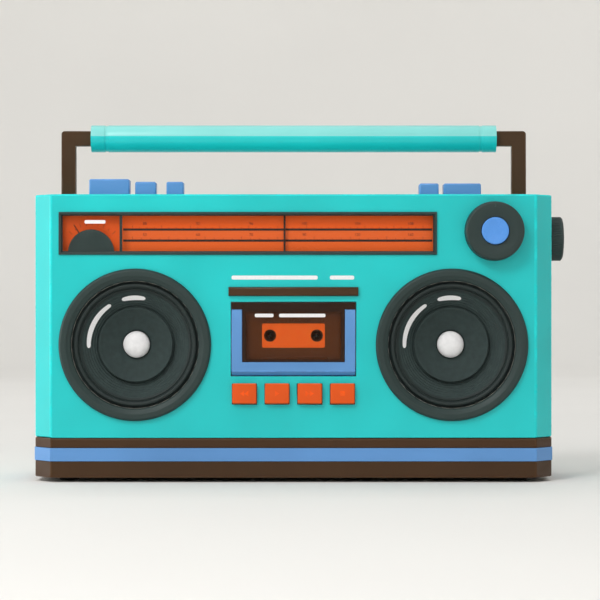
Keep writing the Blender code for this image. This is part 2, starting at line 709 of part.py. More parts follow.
def make_aerial():
    centre = (AERIAL_Y, AERIAL_Z)
    axis = (AERIAL_X, AERIAL_Z)
    pivot = (AERIAL_X, AERIAL_Y, AERIAL_Z)
    profile = [
        (0, LEDGE_Y - WALL),
        (STUB_RADIUS, LEDGE_Y - WALL),
        (STUB_RADIUS, AERIAL_Y - KNUCKLE_HALF),
        (KNUCKLE_RADIUS, AERIAL_Y - KNUCKLE_HALF),
        (KNUCKLE_RADIUS, AERIAL_Y + KNUCKLE_HALF),
        (0, AERIAL_Y + KNUCKLE_HALF),
    ]
    knuckle = piece("aerial_knuckle", turned(profile, "Y", axis, SMALL, False), "chrome", pivot)
    neck = (AERIAL_X - KNUCKLE_RADIUS - 0.010, AERIAL_X - KNUCKLE_RADIUS + 0.002)
    fuse(knuckle, rod("X", centre, TUBE_BORES[0] - SEAM, neck))
    for index in (0, 1):
        start = tube_start(index)
        end = start - TUBE_LENGTH
        radii = (TUBE_RADII[index], TUBE_BORES[index])
        shape = tube("X", centre, radii, (end, start), SMALL)
        piece(f"aerial_tube_{index + 1}", shape, "chrome", pivot)
    start = tube_start(2)
    end = AERIAL_X - KNUCKLE_RADIUS - TUBE_LENGTH - 0.016
    slim = TUBE_RADII[2]
    profile = [
        (0, end - TIP_LENGTH),
        (TIP_RADIUS, end - TIP_LENGTH),
        (TIP_RADIUS, end),
        (slim, end),
        (slim, start),
        (0, start),
    ]
    piece("aerial_tube_3", turned(profile, "X", centre, SMALL, False), "chrome", pivot)


# --- Radio ------------------------------------------------------------------------------------


def make_dial():
    hole_x, hole_z = dial_hole()
    rim_x = (DIAL_LEFT - DIAL_RIM, DIAL_RIGHT + DIAL_RIM)
    rim_z = (DIAL_BOTTOM - DIAL_RIM, DIAL_TOP + DIAL_RIM)
    bezel = piece("dial_bezel", block(rim_x, (-BEZEL_PROUD, -SEAM), rim_z), "charcoal_plastic")
    sleeve_x = (hole_x[0] + SEAM, hole_x[1] - SEAM)
    sleeve_z = (hole_z[0] + SEAM, hole_z[1] - SEAM)
    fuse(bezel, block(sleeve_x, (-0.001, FRAME_Y), sleeve_z))
    window_x, window_z = (DIAL_LEFT, DIAL_RIGHT), (DIAL_BOTTOM, DIAL_TOP)
    window_y = (-WINDOW_PROUD, WINDOW_THICKNESS - WINDOW_PROUD)
    ledge_y = window_y[1] + SEAM
    cut(bezel, block(window_x, (-CUT, ledge_y), window_z))
    light_z = (DIAL_BOTTOM + DIAL_LIP, DIAL_TOP - DIAL_LIP)
    meter_light = block((DIAL_LEFT + DIAL_LIP, DIVIDER_X - DIAL_LIP), (0, CUT), light_z)
    scale_light = block((DIVIDER_X + DIAL_LIP, DIAL_RIGHT - DIAL_LIP), (0, CUT), light_z)
    cut(bezel, meter_light, scale_light)
    hub = []
    for step in range(FINE // 2 + 1):
        angle = math.tau * step / FINE
        x = METER_X + METER_HUB_RADIUS * math.cos(angle)
        hub.append((x, DIAL_BOTTOM + METER_HUB_RADIUS * math.sin(angle)))
    fuse(bezel, prism(hub, "Y", (ledge_y, FRAME_Y - SEAM)))
    pane_x = (DIAL_LEFT + SEAM, DIAL_RIGHT - SEAM)
    pane_z = (DIAL_BOTTOM + SEAM, DIAL_TOP - SEAM)
    piece("dial_window", block(pane_x, window_y, pane_z), "clear_plastic")

    plate_y = (PLATE_SETBACK, PLATE_SETBACK + PLATE_THICKNESS)
    plate_x = (DIAL_LEFT - PLATE_MARGIN, DIAL_RIGHT + PLATE_MARGIN)
    shape = block(plate_x, plate_y, (DIAL_BOTTOM - 0.005, PLATE_TOP))
    plate = piece("dial_plate", shape, "orange_plastic")
    bore_y = (plate_y[0] - CUT, plate_y[1] + CUT)
    cut(plate, rod("Y", (METER_X, DIAL_BOTTOM), NEEDLE_BORE, bore_y))

    needle_y = PLATE_SETBACK - NEEDLE_GAP
    middle = (METER_X, DIAL_BOTTOM)
    profile = [
        (0, needle_y - 0.0004),
        (0.003, needle_y - 0.0004),
        (0.003, needle_y + 0.0012),
        (NEEDLE_BORE - SLIDE, needle_y + 0.0012),
        (NEEDLE_BORE - SLIDE, plate_y[1] + 0.001),
        (0, plate_y[1] + 0.001),
    ]
    pivot = (METER_X, needle_y, DIAL_BOTTOM)
    shape = turned(profile, "Y", middle, SMALL, False)
    needle = piece("meter_needle", shape, "charcoal_plastic", pivot)
    along = Vector((-math.sin(NEEDLE_ANGLE), math.cos(NEEDLE_ANGLE)))
    across = Vector((along.y, -along.x)) * 0.0006
    root, tip = Vector(middle) + along * 0.001, Vector(middle) + along * NEEDLE_LENGTH
    blade = [root - across, root + across, tip + across * 0.5, tip - across * 0.5]
    fuse(needle, prism([tuple(corner) for corner in blade], "Y", (needle_y, needle_y + 0.0008)))

    back = PLATE_SETBACK - POINTER_GAP
    front = back - PLATE_THICKNESS
    stem_z = (DIAL_BOTTOM + 0.001, PLATE_TOP + 0.002)
    stem = block(spread(POINTER_X, POINTER_WIDTH / 2), (front, back), stem_z)
    pointer = piece("dial_pointer", stem, "brown_plastic", (POINTER_X, front, PLATE_TOP))
    saddle_x = spread(POINTER_X, SADDLE_WIDTH / 2)
    saddle_z = (PLATE_TOP + SLIDE, PLATE_TOP + 0.004)
    hook_y = (plate_y[1] + SLIDE, plate_y[1] + 0.002)
    fuse(pointer, block(saddle_x, (front, hook_y[1]), saddle_z))
    fuse(pointer, block(saddle_x, hook_y, (PLATE_TOP - 0.003, PLATE_TOP + 0.002)))


def make_knobs():
    control_face = BOARD_SETBACK - CONTROL_DEPTH
    shaft_end = BOARD_SETBACK - 0.004
    front = -KNOB_GAP - VOLUME_HEIGHT
    seat_y = front + CAP_SEAT
    dish = VOLUME_CAP_RADIUS + SEAM
    profile = [
        (0, seat_y),
        (dish, seat_y),
        (dish, front + 0.0008),
        (VOLUME_RADIUS - 0.006, front),
        (VOLUME_RADIUS - 0.002, front),
        (VOLUME_RADIUS - 0.0005, front + 0.0015),
        (VOLUME_RADIUS, -KNOB_GAP),
        (SHAFT_RADIUS, -KNOB_GAP),
        (SHAFT_RADIUS, shaft_end),
        (0, shaft_end),
    ]
    axis = (VOLUME_X, KNOB_Z)
    pivot = (VOLUME_X, 0, KNOB_Z)
    piece("volume_knob", turned(profile, "Y", axis, FINE, False), "charcoal_plastic", pivot)
    profile = [
        (0, FRONT_MOST),
        (VOLUME_CAP_RADIUS - 0.0015, FRONT_MOST),
        (VOLUME_CAP_RADIUS, FRONT_MOST + 0.0015),
        (VOLUME_CAP_RADIUS, seat_y - SEAM),
        (0, seat_y - SEAM),
    ]
    piece("volume_cap", turned(profile, "Y", axis, ROUND, False), "blue_plastic", pivot)

    near = HALF_WIDTH + SEAM
    far = near + TUNING_HEIGHT
    drum = VOLUME_X + 0.009
    profile = [
        (0, far),
        (TUNING_RADIUS - 0.002, far),
        (TUNING_RADIUS, far - 0.002),
        (TUNING_RADIUS, near),
        (SHAFT_RADIUS, near),
        (SHAFT_RADIUS, drum + DRUM_WIDTH),
        (DRUM_RADIUS, drum + DRUM_WIDTH),
        (DRUM_RADIUS, drum),
        (SHAFT_RADIUS, drum),
        (SHAFT_RADIUS, VOLUME_X + SLIDE),
        (0, VOLUME_X + SLIDE),
    ]
    axis = (TUNING_SETBACK, TUNING_Z)
    pivot = (HALF_WIDTH, TUNING_SETBACK, TUNING_Z)
    piece("tuning_knob", turned(profile, "X", axis, FINE, False), "charcoal_plastic", pivot)

    board_y = (BOARD_SETBACK, BOARD_SETBACK + BOARD_THICKNESS)
    board_x = (DIVIDER_X + 0.060, VOLUME_X + 0.020)
    board_z = (DIAL_BOTTOM - 0.006, DIAL_TOP + 0.007)
    board = piece("main_board", block(board_x, board_y, board_z), "green_board")
    seat = (control_face, BOARD_SETBACK + BOARD_THICKNESS / 2)
    control = (VOLUME_X, KNOB_Z)
    fuse(board, rod("Y", control, CONTROL_RADIUS, seat, ROUND))
    cut(board, rod("Y", control, SHAFT_RADIUS + SLIDE, (control_face - CUT, shaft_end + SLIDE)))
    tuner_x = POINTER_X + 0.045
    fuse(board, block(spread(tuner_x, 0.010), seat, spread(DIAL_Z, 0.010)))
    for index in range(3):
        coil_x = spread(tuner_x + 0.030 + index * 0.014, 0.005)
        fuse(board, block(coil_x, seat, spread(DIAL_Z + 0.008, 0.005)))
    for index in range(4):
        capacitor = (POINTER_X - 0.070 + index * 0.018, DIAL_Z - 0.006)
        fuse(board, rod("Y", capacitor, 0.005, seat))
    rear_y = board_y[0] + SLIDE
    for index in range(5):
        fin_x = spread(POINTER_X + index * 0.006, 0.001)
        fuse(board, block(fin_x, (rear_y, board_y[1] + 0.012), spread(DIAL_Z, 0.014)))
    cheek_x = (VOLUME_X - 0.0035, VOLUME_X)
    cheek_y = (rear_y, TUNING_SETBACK + DRUM_RADIUS - SEAM)
    fuse(board, block(cheek_x, cheek_y, spread(TUNING_Z, 0.008)))


# --- Speakers ---------------------------------------------------------------------------------


def make_speakers():
    spigot = SPEAKER_HOLE - SEAM
    mouth = MOUTH_RADIUS
    ring = [
        (SPEAKER_RADIUS, -SEAM),
        (SPEAKER_RADIUS, -0.0025),
        (SPEAKER_RADIUS - 0.002, -RING_PROUD),
        (SPEAKER_RADIUS - 0.006, -RING_PROUD),
        (mouth, -0.001),
        (mouth, WALL),
        (spigot, WALL),
        (spigot, -SEAM),
    ]
    coil = DUST_CAP_RADIUS + 0.0014  # outer radius of the voice coil former
    flange = SPEAKER_HOLE + BASKET_FLANGE
    flange_back = FRAME_Y + BASKET_WALL
    pole = MAGNET_FRONT + MAGNET_PLATE
    gap_end = COIL_END + 0.006
    gap = (coil - COIL_WALL - COIL_GAP, coil + COIL_GAP)
    basket = [
        (0, pole),
        (gap[0], pole),
        (gap[0], gap_end),
        (gap[1], gap_end),
        (gap[1], MAGNET_FRONT),
        (MAGNET_RADIUS, MAGNET_FRONT),
        (mouth, 0.0115),
        (mouth, FRAME_Y),
        (flange, FRAME_Y),
        (flange, flange_back),
        (mouth + BASKET_WALL, flange_back),
        (mouth + BASKET_WALL, 0.012),
        (MAGNET_RADIUS + MAGNET_PLATE, MAGNET_FRONT),
        (MAGNET_RADIUS + MAGNET_PLATE, pole),
        (MAGNET_RADIUS, pole),
        (MAGNET_RADIUS, SPEAKER_DEPTH),
        (0, SPEAKER_DEPTH),
    ]
    roll = mouth - 0.0004
    cone = [
        (roll, 0.0035),
        (CONE_RADIUS + 0.0055, 0.0015),
        (CONE_RADIUS + 0.0030, 0.0010),
        (CONE_RADIUS + 0.0010, 0.0020),
        (CONE_RADIUS, 0.0045),
        (coil + 0.005, 0.0235),
        (WHIZZER_RADIUS, 0.0100),
        (WHIZZER_RADIUS - 0.0010, 0.0092),
        (coil, 0.0210),
        (coil - COIL_WALL, 0.0225),
        (coil - COIL_WALL, COIL_END),
        (coil, COIL_END),
        (coil, 0.0268),
        (CONE_RADIUS, 0.0060),
        (CONE_RADIUS + 0.0010, 0.0050),
        (roll, 0.0050),
    ]
    rim = coil - COIL_WALL - SEAM
    cap = [
        (0, 0.0130),
        (rim * 0.40, 0.0138),
        (rim * 0.75, 0.0160),
        (rim, 0.0200),
        (rim, 0.0235),
        (0, 0.0235),
    ]
    for name, side in both_sides():
        axis = (side * SPEAKER_X, SPEAKER_Z)
        pivot = (side * SPEAKER_X, 0, SPEAKER_Z)
        piece(f"speaker_ring_{name}", turned(ring, "Y", axis, FINE), "charcoal_plastic")
        piece(f"speaker_frame_{name}", turned(basket, "Y", axis, FINE, False), "steel")
        piece(f"speaker_cone_{name}", turned(cone, "Y", axis, FINE), "speaker_paper", pivot)
        piece(f"dust_cap_{name}", turned(cap, "Y", axis, ROUND, False), "white_paper", pivot)


# --- Cassette deck ----------------------------------------------------------------------------


def make_door():
    pivot = (0, HINGE_SETBACK, HINGE_Z)
    face = (-DOOR_PROUD, DOOR_BACK)
    side_view = [
        (face[0], DOOR_BOTTOM + DOOR_BEVEL),
        (face[0] + DOOR_BEVEL, DOOR_BOTTOM),
        (face[1], DOOR_BOTTOM),
        (face[1], DOOR_TOP),
        (face[0], DOOR_TOP),
    ]
    half = DOOR_WIDTH / 2
    door = piece("cassette_door", prism(side_view, "X", (-half, half)), "blue_plastic", pivot)
    glass_x = half - DOOR_SIDE
    glass_z = DOOR_BOTTOM + DOOR_SILL
    glass_back = face[0] + 0.0025
    brow_z = DOOR_TOP - DOOR_BROW
    rebate = [
        (glass_x, glass_z),
        (glass_x, brow_z - SEAM),
        (half + CUT, brow_z - SEAM),
        (half + CUT, DOOR_TOP + CUT),
    ]
    rebate += [(-x, z) for x, z in reversed(rebate)]
    cut(door, prism(rebate, "Y", (face[0] - CUT, glass_back)))
    light_x = spread(0, glass_x - 0.002)
    cut(door, block(light_x, (face[0], face[1] + CUT), (glass_z + 0.002, brow_z)))
    pane = [
        (glass_x - SEAM, glass_z + SEAM),
        (glass_x - SEAM, brow_z),
        (half, brow_z),
        (half, DOOR_TOP),
    ]
    pane += [(-x, z) for x, z in reversed(pane)]
    piece("door_window", prism(pane, "Y", (face[0], glass_back - SEAM)), "smoked_plastic", pivot)

    inner = TAPE_WIDTH / 2 + TAPE_PLAY
    outer = inner + HOLDER_WALL
    front = face[0] + DOOR_BEVEL
    stop = TAPE_BACK + SEAM
    rear = stop + TAPE_STOP
    hook = [
        (inner, front),
        (outer, front),
        (outer, rear),
        (inner - 0.005, rear),
        (inner - 0.005, stop),
        (inner, stop),
    ]
    for side in (-1, 1):
        channel = [(side * x, y) for x, y in hook]
        fuse(door, prism(channel, "Z", (DOOR_BOTTOM + 0.0002, DOOR_TOP - 0.008)))
        shelf_x = sorted((side * (inner - 0.0065), side * (inner + 0.001)))
        shelf_z = (DOOR_BOTTOM + 0.0001, TAPE_BOTTOM - SEAM)
        fuse(door, block(shelf_x, (front + 0.0001, rear - SEAM), shelf_z))
        pin = sorted((side * (outer - 0.001), side * (half + DOOR_GAP + 0.004)))
        fuse(door, rod("X", (HINGE_SETBACK, HINGE_Z), HINGE_PIN_RADIUS, pin))

    hood_x = half + HOOD_OVERHANG
    hood_view = [
        (-SEAM, HOOD_BOTTOM),
        (-SEAM, HOOD_TOP),
        (-HOOD_PROUD + 0.001, HOOD_TOP),
        (-HOOD_PROUD, HOOD_TOP - 0.001),
        (-HOOD_PROUD, HOOD_BOTTOM + 0.001),
        (-HOOD_PROUD + 0.001, HOOD_BOTTOM),
    ]
    hood = piece("deck_hood", prism(hood_view, "X", (-hood_x, hood_x)), "brown_plastic")
    for centre in hood_pegs():
        fuse(hood, rod("Y", centre, HOOD_PEG_RADIUS, (-0.001, WALL + 0.001)))


def make_cassette():
    half = TAPE_WIDTH / 2
    top = TAPE_BOTTOM + TAPE_HEIGHT
    pivot = (0, HINGE_SETBACK, HINGE_Z)
    body = block((-half, half), (TAPE_SETBACK, TAPE_BACK), (TAPE_BOTTOM, top))
    shell = piece("cassette_shell", body, "smoked_plastic", pivot)
    bulge = [
        (-0.033, TAPE_BOTTOM),
        (0.033, TAPE_BOTTOM),
        (0.0305, TAPE_BOTTOM + TAPE_BULGE_HEIGHT),
        (-0.0305, TAPE_BOTTOM + TAPE_BULGE_HEIGHT),
    ]
    fuse(shell, prism(bulge, "Y", (TAPE_SETBACK - TAPE_BULGE, TAPE_BACK + TAPE_BULGE)))
    through = (TAPE_SETBACK - CUT, TAPE_BACK + CUT)
    hub_hole = HUB_RADIUS + PIN_PLAY
    holes = [rod("Y", (side * HUB_X, HUB_Z), hub_hole, through) for side in (-1, 1)]
    holes.append(block(spread(0, 0.010), through, (TAPE_BOTTOM - CUT, TAPE_BOTTOM + 0.007)))
    notch_z = (TAPE_BOTTOM - CUT, CAPSTAN_Z + 0.0035)
    for side in (-1, 1):
        holes.append(block(spread(side * (CAPSTAN_OFFSET + 0.0005), 0.0075), through, notch_z))
    cut(shell, *holes)
    span = (TAPE_SETBACK + TAPE_PLAY, TAPE_BACK - TAPE_PLAY)
    for name, side in both_sides():
        spool = tube("Y", (side * HUB_X, HUB_Z), (HUB_RADIUS, HUB_BORE), span, SMALL)
        piece(f"cassette_hub_{name}", spool, "white_paper", (side * HUB_X, TAPE_SETBACK, HUB_Z))


def belt_outline(grow):
    """The line round the motor pulley and the flywheel, this far outside them, in (x, z)."""
    small, large = PULLEY_RADIUS + grow, FLYWHEEL_RADIUS + grow
    distance = CAPSTAN_OFFSET - PULLEY_X
    tilt = math.asin((large - small) / distance)
    line = []
    top = math.pi / 2 + tilt
    for centre, radius, start, sweep, steps in (
        (CAPSTAN_OFFSET, large, -top, 2 * top, 20),
        (PULLEY_X, small, top, math.tau - 2 * top, 10),
    ):
        for step in range(steps + 1):
            angle = start + sweep * step / steps
            line.append((centre + radius * math.cos(angle), CAPSTAN_Z + radius * math.sin(angle)))
    return line


def make_tape_drive():
    plate_y = (CHASSIS_SETBACK, CHASSIS_BACK)
    posts = chassis_posts()
    plate_x = spread(0, posts[-1][0] + POST_MARGIN)
    plate_z = (posts[0][1] - POST_MARGIN, posts[1][1] + POST_MARGIN)
    chassis = piece("deck_chassis", block(plate_x, plate_y, plate_z), "steel")
    through = (plate_y[0] - CUT, plate_y[1] + CUT)
    holes = [rod("Y", (side * HUB_X, HUB_Z), SPINDLE_NECK + SLIDE, through) for side in (-1, 1)]
    holes.append(rod("Y", (CAPSTAN_OFFSET, CAPSTAN_Z), CAPSTAN_RADIUS + SLIDE, through))
    cut(chassis, *holes)

    tip = TAPE_SETBACK + 0.0025
    collar = (CHASSIS_SETBACK - 0.0019, CHASSIS_SETBACK - 0.0004)
    hub_back = CHASSIS_BACK + SLIDE
    for name, side in (("supply", -1), ("takeup", 1)):
        profile = [
            (0, tip),
            (SPINDLE_RADIUS - 0.001, tip),
            (SPINDLE_RADIUS, tip + 0.002),
            (SPINDLE_RADIUS, collar[0]),
            (SPINDLE_COLLAR, collar[0]),
            (SPINDLE_COLLAR, collar[1]),
            (SPINDLE_NECK, collar[1]),
            (SPINDLE_NECK, hub_back),
            (SPINDLE_WHEEL, hub_back),
            (SPINDLE_WHEEL, hub_back + 0.003),
            (0, hub_back + 0.003),
        ]
        x = side * HUB_X
        shape = turned(profile, "Y", (x, HUB_Z), SMALL, False)
        piece(f"{name}_spindle", shape, "charcoal_plastic", (x, tip, HUB_Z))

    wheel_end = FLYWHEEL_Y + FLYWHEEL_THICKNESS
    profile = [
        (0, tip),
        (CAPSTAN_RADIUS, tip),
        (CAPSTAN_RADIUS, FLYWHEEL_Y),
        (FLYWHEEL_RADIUS, FLYWHEEL_Y),
        (FLYWHEEL_RADIUS, wheel_end),
        (FLYWHEEL_RADIUS - 0.004, wheel_end),
        (FLYWHEEL_RADIUS - 0.005, wheel_end - 0.003),
        (0.006, wheel_end - 0.003),
        (0.005, wheel_end),
        (0, wheel_end),
    ]
    axis = (CAPSTAN_OFFSET, CAPSTAN_Z)
    pivot = (CAPSTAN_OFFSET, FLYWHEEL_Y, CAPSTAN_Z)
    piece("capstan_flywheel", turned(profile, "Y", axis, FINE, False), "steel", pivot)

    axis = (PULLEY_X, CAPSTAN_Z)
    groove = BELT_WIDTH / 2 + SLIDE
    low, high = BELT_Y - groove - 0.001, BELT_Y + groove + 0.001
    lip = PULLEY_RADIUS + 0.0012
    motor_y = high + 0.0015
    profile = [
        (0, low),
        (lip, low),
        (PULLEY_RADIUS, BELT_Y - groove),
        (PULLEY_RADIUS, BELT_Y + groove),
        (lip, high),
        (MOTOR_SHAFT, high),
        (MOTOR_SHAFT, motor_y + 0.006),
        (0, motor_y + 0.006),
    ]
    pivot = (PULLEY_X, BELT_Y, CAPSTAN_Z)
    piece("motor_pulley", turned(profile, "Y", axis, SMALL, False), "steel", pivot)
    can = rod("Y", axis, MOTOR_RADIUS, (motor_y, motor_y + MOTOR_LENGTH), ROUND)
    motor = piece("drive_motor", can, "steel")
    cut(motor, rod("Y", axis, MOTOR_SHAFT + SLIDE, (motor_y - CUT, motor_y + 0.007)))
    for side in (-1, 1):
        leg = (PULLEY_X - 0.010, CAPSTAN_Z + side * 0.009)
        fuse(motor, rod("Y", leg, 0.0018, (CHASSIS_BACK + SEAM, motor_y + 0.002), 8))
    slack = SEAM + 0.0002
    loop = prism(belt_outline(slack + BELT_THICKNESS), "Y", spread(BELT_Y, BELT_WIDTH / 2))
    belt = piece("drive_belt", loop, "black_rubber")
    cut(belt, prism(belt_outline(slack), "Y", spread(BELT_Y, BELT_WIDTH)))

    plate = (CHASSIS_SETBACK - 0.0019, CHASSIS_SETBACK - 0.0005)
    bridge_z = TAPE_BOTTOM - 0.002
    shape = block(spread(0, BRIDGE_HALF), plate, (bridge_z - BRIDGE_HEIGHT, bridge_z))
    bridge = piece("head_bridge", shape, "steel")
    nose = HINGE_SETBACK + HINGE_PIN_RADIUS
    root = plate[1] - 0.0004
    head_z = (bridge_z - BRIDGE_HEIGHT / 2, bridge_z + 0.0006)
    fuse(bridge, block(spread(0, 0.0065), (nose, root), head_z))
    roller = (CAPSTAN_OFFSET, bridge_z - 0.002)
    fuse(bridge, rod("Y", roller, ROLLER_RADIUS, (nose + SLIDE, nose + 0.005), SMALL))
    fuse(bridge, rod("Y", roller, ROLLER_RADIUS / 3, (nose + 0.004, root), 8))


# --- Buttons ----------------------------------------------------------------------------------


def round_edges(obj, width):
    bevel = obj.modifiers.new("Edges", "BEVEL")
    bevel.width = width
    bevel.limit_method = "ANGLE"


def make_keys():
    flange_y = (FRAME_Y, FRAME_Y + 0.0015)
    flange_z = (KEY_BOTTOM - KEY_FLANGE, KEY_Z + KEY_HEIGHT / 2 - 0.0006)
    stem_y = (FRAME_Y + 0.001, KEY_STEM_END)
    stem_z = (KEY_BOTTOM + 0.001, KEY_BOTTOM + 0.006)
    for index, name in enumerate(KEY_NAMES):
        x = key_x(index)
        half = KEY_WIDTH / 2
        cap_y = (-KEY_PROUD, FRAME_Y + 0.0002)
        cap = block(spread(x, half), cap_y, spread(KEY_Z, KEY_HEIGHT / 2))
        key = piece(f"key_{name}", cap, "orange_plastic", (x, 0, KEY_Z))
        round_edges(key, KEY_EDGE)
        fuse(key, block(spread(x, half + KEY_FLANGE), flange_y, flange_z))
        fuse(key, block(spread(x, 0.0015), stem_y, stem_z))


def make_top_keys():
    for name, side, distance, width, height in TOP_KEYS:
        x = top_key_x(side, distance)
        half, depth = width / 2, TOP_KEY_DEPTH / 2
        roof = CASE_TOP - WALL - SEAM
        pivot = (x, TOP_KEY_SETBACK, CASE_TOP)
        cap_z = (roof - 0.0002, CASE_TOP + height)
        cap = block(spread(x, half), spread(TOP_KEY_SETBACK, depth), cap_z)
        key = piece(f"top_key_{name}", cap, "blue_plastic", pivot)
        round_edges(key, TOP_KEY_EDGE)
        flange_y = spread(TOP_KEY_SETBACK, depth + KEY_FLANGE)
        fuse(key, block(spread(x, half + KEY_FLANGE), flange_y, (roof - 0.0015, roof)))


# --- Power ------------------------------------------------------------------------------------


def make_power():
    half = BAY_LENGTH / 2 - LID_GAP
    face = (CASE_DEPTH - LID_THICKNESS, CASE_DEPTH)
    low, high = BAY_BOTTOM + 2 * LID_GAP, BAY_TOP - LID_GAP
    pivot = (0, LID_Y, LID_Z)
    lid = piece("battery_door", block((-half, half), face, (low, high)), "turquoise_plastic", pivot)
    lip_y = (CASE_DEPTH - 0.001, CASE_DEPTH + LID_LIP)
    fuse(lid, block(spread(0, THUMB_HALF), lip_y, (high - 0.009, high - 0.004)))
    for side in (-1, 1):
        pin = sorted((side * (half - 0.001), side * (half + LID_PIN_LENGTH)))
        fuse(lid, rod("X", (LID_Y, LID_Z), LID_PIN_RADIUS, pin))

    back = CASE_DEPTH - SEAM
    half_x, half_z = INLET_WIDTH / 2, INLET_HEIGHT / 2
    body = block(spread(INLET_X, half_x), (back - INLET_DEPTH, back), spread(INLET_Z, half_z))
    inlet = piece("mains_inlet", body, "charcoal_plastic")
    flange_x = spread(INLET_X, half_x + INLET_FLANGE)
    flange_y = (CASE_DEPTH - WALL - 0.002, CASE_DEPTH - WALL - SEAM)
    fuse(inlet, block(flange_x, flange_y, spread(INLET_Z, half_z + INLET_FLANGE)))
    waist = SOCKET_WIDTH / 2 - SOCKET_HEIGHT / 2
    socket = []
    for side in (1, -1):
        for step in range(9):
            angle = math.pi * (step / 8 - 0.5) + (0 if side == 1 else math.pi)
            x = INLET_X + side * waist + SOCKET_HEIGHT / 2 * math.cos(angle)
            socket.append((x, INLET_Z + SOCKET_HEIGHT / 2 * math.sin(angle)))
    cut(inlet, prism(socket, "Y", (back - INLET_DEPTH + 0.002, back + CUT)))

    width, depth, height = TRANSFORMER
    x = HALF_WIDTH - TRANSFORMER_INSET
    floor = BASE_BOTTOM + WALL + SEAM
    y = LEDGE_Y - 0.028
    core = block(spread(x, width / 2), spread(y, depth * 0.32), (floor, floor + height))
    transformer = piece("mains_transformer", core, "steel")
    coil = block(spread(x, width * 0.33), spread(y, depth / 2), (floor + 0.007, floor + height - 0.007))
    fuse(transformer, coil)


def main():
    for obj in list(bpy.data.objects):
        bpy.data.objects.remove(obj)
    frame = bpy.data.objects.new("case_frame", None)
    bpy.context.scene.collection.objects.link(frame)
    frame.location = -ORIGIN
    make_materials()
    make_front_shell()
    make_rear_shell()
    make_base()
    make_handle()
    make_aerial()
    make_dial()
    make_knobs()
    make_speakers()
    make_door()
    make_cassette()
    make_tape_drive()
    make_keys()
    make_top_keys()
    make_power()


main()
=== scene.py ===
"""The looks of a portable stereo radio cassette player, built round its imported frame.

X is to the right seen from the front, Y runs from the front to the back, Z is up, in metres.
Moulded pieces are copies of the frame's own solids with their edges rounded. Turned pieces,
such as the loudspeakers, knobs and aerial, are spun again from finer outlines.
"""

import json
import math

import bmesh
import bpy
from mathutils import Matrix, Vector

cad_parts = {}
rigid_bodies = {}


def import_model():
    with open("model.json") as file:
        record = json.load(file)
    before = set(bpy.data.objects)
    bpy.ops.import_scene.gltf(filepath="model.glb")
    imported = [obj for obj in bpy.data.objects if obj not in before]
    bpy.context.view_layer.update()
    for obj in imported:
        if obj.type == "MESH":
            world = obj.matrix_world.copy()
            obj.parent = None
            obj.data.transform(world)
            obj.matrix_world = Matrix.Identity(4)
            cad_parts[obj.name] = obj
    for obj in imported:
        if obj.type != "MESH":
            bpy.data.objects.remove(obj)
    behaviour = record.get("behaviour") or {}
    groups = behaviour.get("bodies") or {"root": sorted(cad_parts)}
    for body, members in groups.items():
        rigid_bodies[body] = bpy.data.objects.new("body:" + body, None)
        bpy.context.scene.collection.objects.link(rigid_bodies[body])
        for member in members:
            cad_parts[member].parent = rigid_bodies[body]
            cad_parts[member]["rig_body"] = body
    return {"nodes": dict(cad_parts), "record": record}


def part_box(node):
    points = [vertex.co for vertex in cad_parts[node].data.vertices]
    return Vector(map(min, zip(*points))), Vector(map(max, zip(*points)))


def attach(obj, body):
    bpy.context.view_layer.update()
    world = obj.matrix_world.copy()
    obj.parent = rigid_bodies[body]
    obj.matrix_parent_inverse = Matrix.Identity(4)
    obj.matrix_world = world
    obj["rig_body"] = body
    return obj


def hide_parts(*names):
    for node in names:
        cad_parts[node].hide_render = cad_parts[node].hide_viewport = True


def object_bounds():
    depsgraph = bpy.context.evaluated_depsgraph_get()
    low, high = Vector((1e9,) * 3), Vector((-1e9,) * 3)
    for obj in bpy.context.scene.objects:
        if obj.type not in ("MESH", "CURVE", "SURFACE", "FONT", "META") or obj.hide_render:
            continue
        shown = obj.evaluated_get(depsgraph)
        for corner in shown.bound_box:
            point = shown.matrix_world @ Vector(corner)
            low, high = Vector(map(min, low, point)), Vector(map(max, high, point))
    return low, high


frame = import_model()
cad_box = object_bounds()

MM = 0.001
SMOOTH = 96  # steps round a small turned piece
VERY_SMOOTH = 160  # steps round a large one
SEAM = 0.3 * MM

# --- Places, read from the frame, and names ----------------------------------------------------

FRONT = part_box("front_shell")[0].y
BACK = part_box("base_moulding")[1].y
CASE_LEFT, CASE_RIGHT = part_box("front_shell")[0].x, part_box("front_shell")[1].x
CASE_MIDDLE = (CASE_LEFT + CASE_RIGHT) / 2
SIDES = ("left", "right")
SLOTS = {part["node"]: part["material_slot"] for part in frame["record"]["subparts"]}
KEYS = ("rewind", "play", "forward", "stop")
TOP_KEYS = ("power", "band", "mode", "tone", "bass")
METER_WIDTH = 54 * MM
METER_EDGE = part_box("dial_window")[0].x + METER_WIDTH
METER_CENTRE = METER_EDGE - METER_WIDTH / 2
DIAL_ROWS = (0.62, 0.30)  # heights of the dial's printed lines, as shares of the window


def placed(name, data):
    """A new object in the scene, from its mesh, curve, light or camera data."""
    obj = bpy.data.objects.new(name, data)
    bpy.context.scene.collection.objects.link(obj)
    return obj


def middle(node):
    low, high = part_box(node)
    return (low + high) / 2


def half_size(node):
    low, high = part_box(node)
    return (high - low) / 2


def body_of(node):
    return frame["nodes"][node]["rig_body"]


# --- Finishes ----------------------------------------------------------------------------------


def colour(code):
    """A colour written the usual way, such as 34cbc8, as the shader wants it."""
    parts = [int(code[i : i + 2], 16) / 255 for i in (0, 2, 4)]
    linear = [c / 12.92 if c <= 0.04045 else ((c + 0.055) / 1.055) ** 2.4 for c in parts]
    return (*linear, 1)


def shade(tone, factor):
    """The same colour, lighter or darker."""
    return (*(min(1, c * factor) for c in tone[:3]), 1)


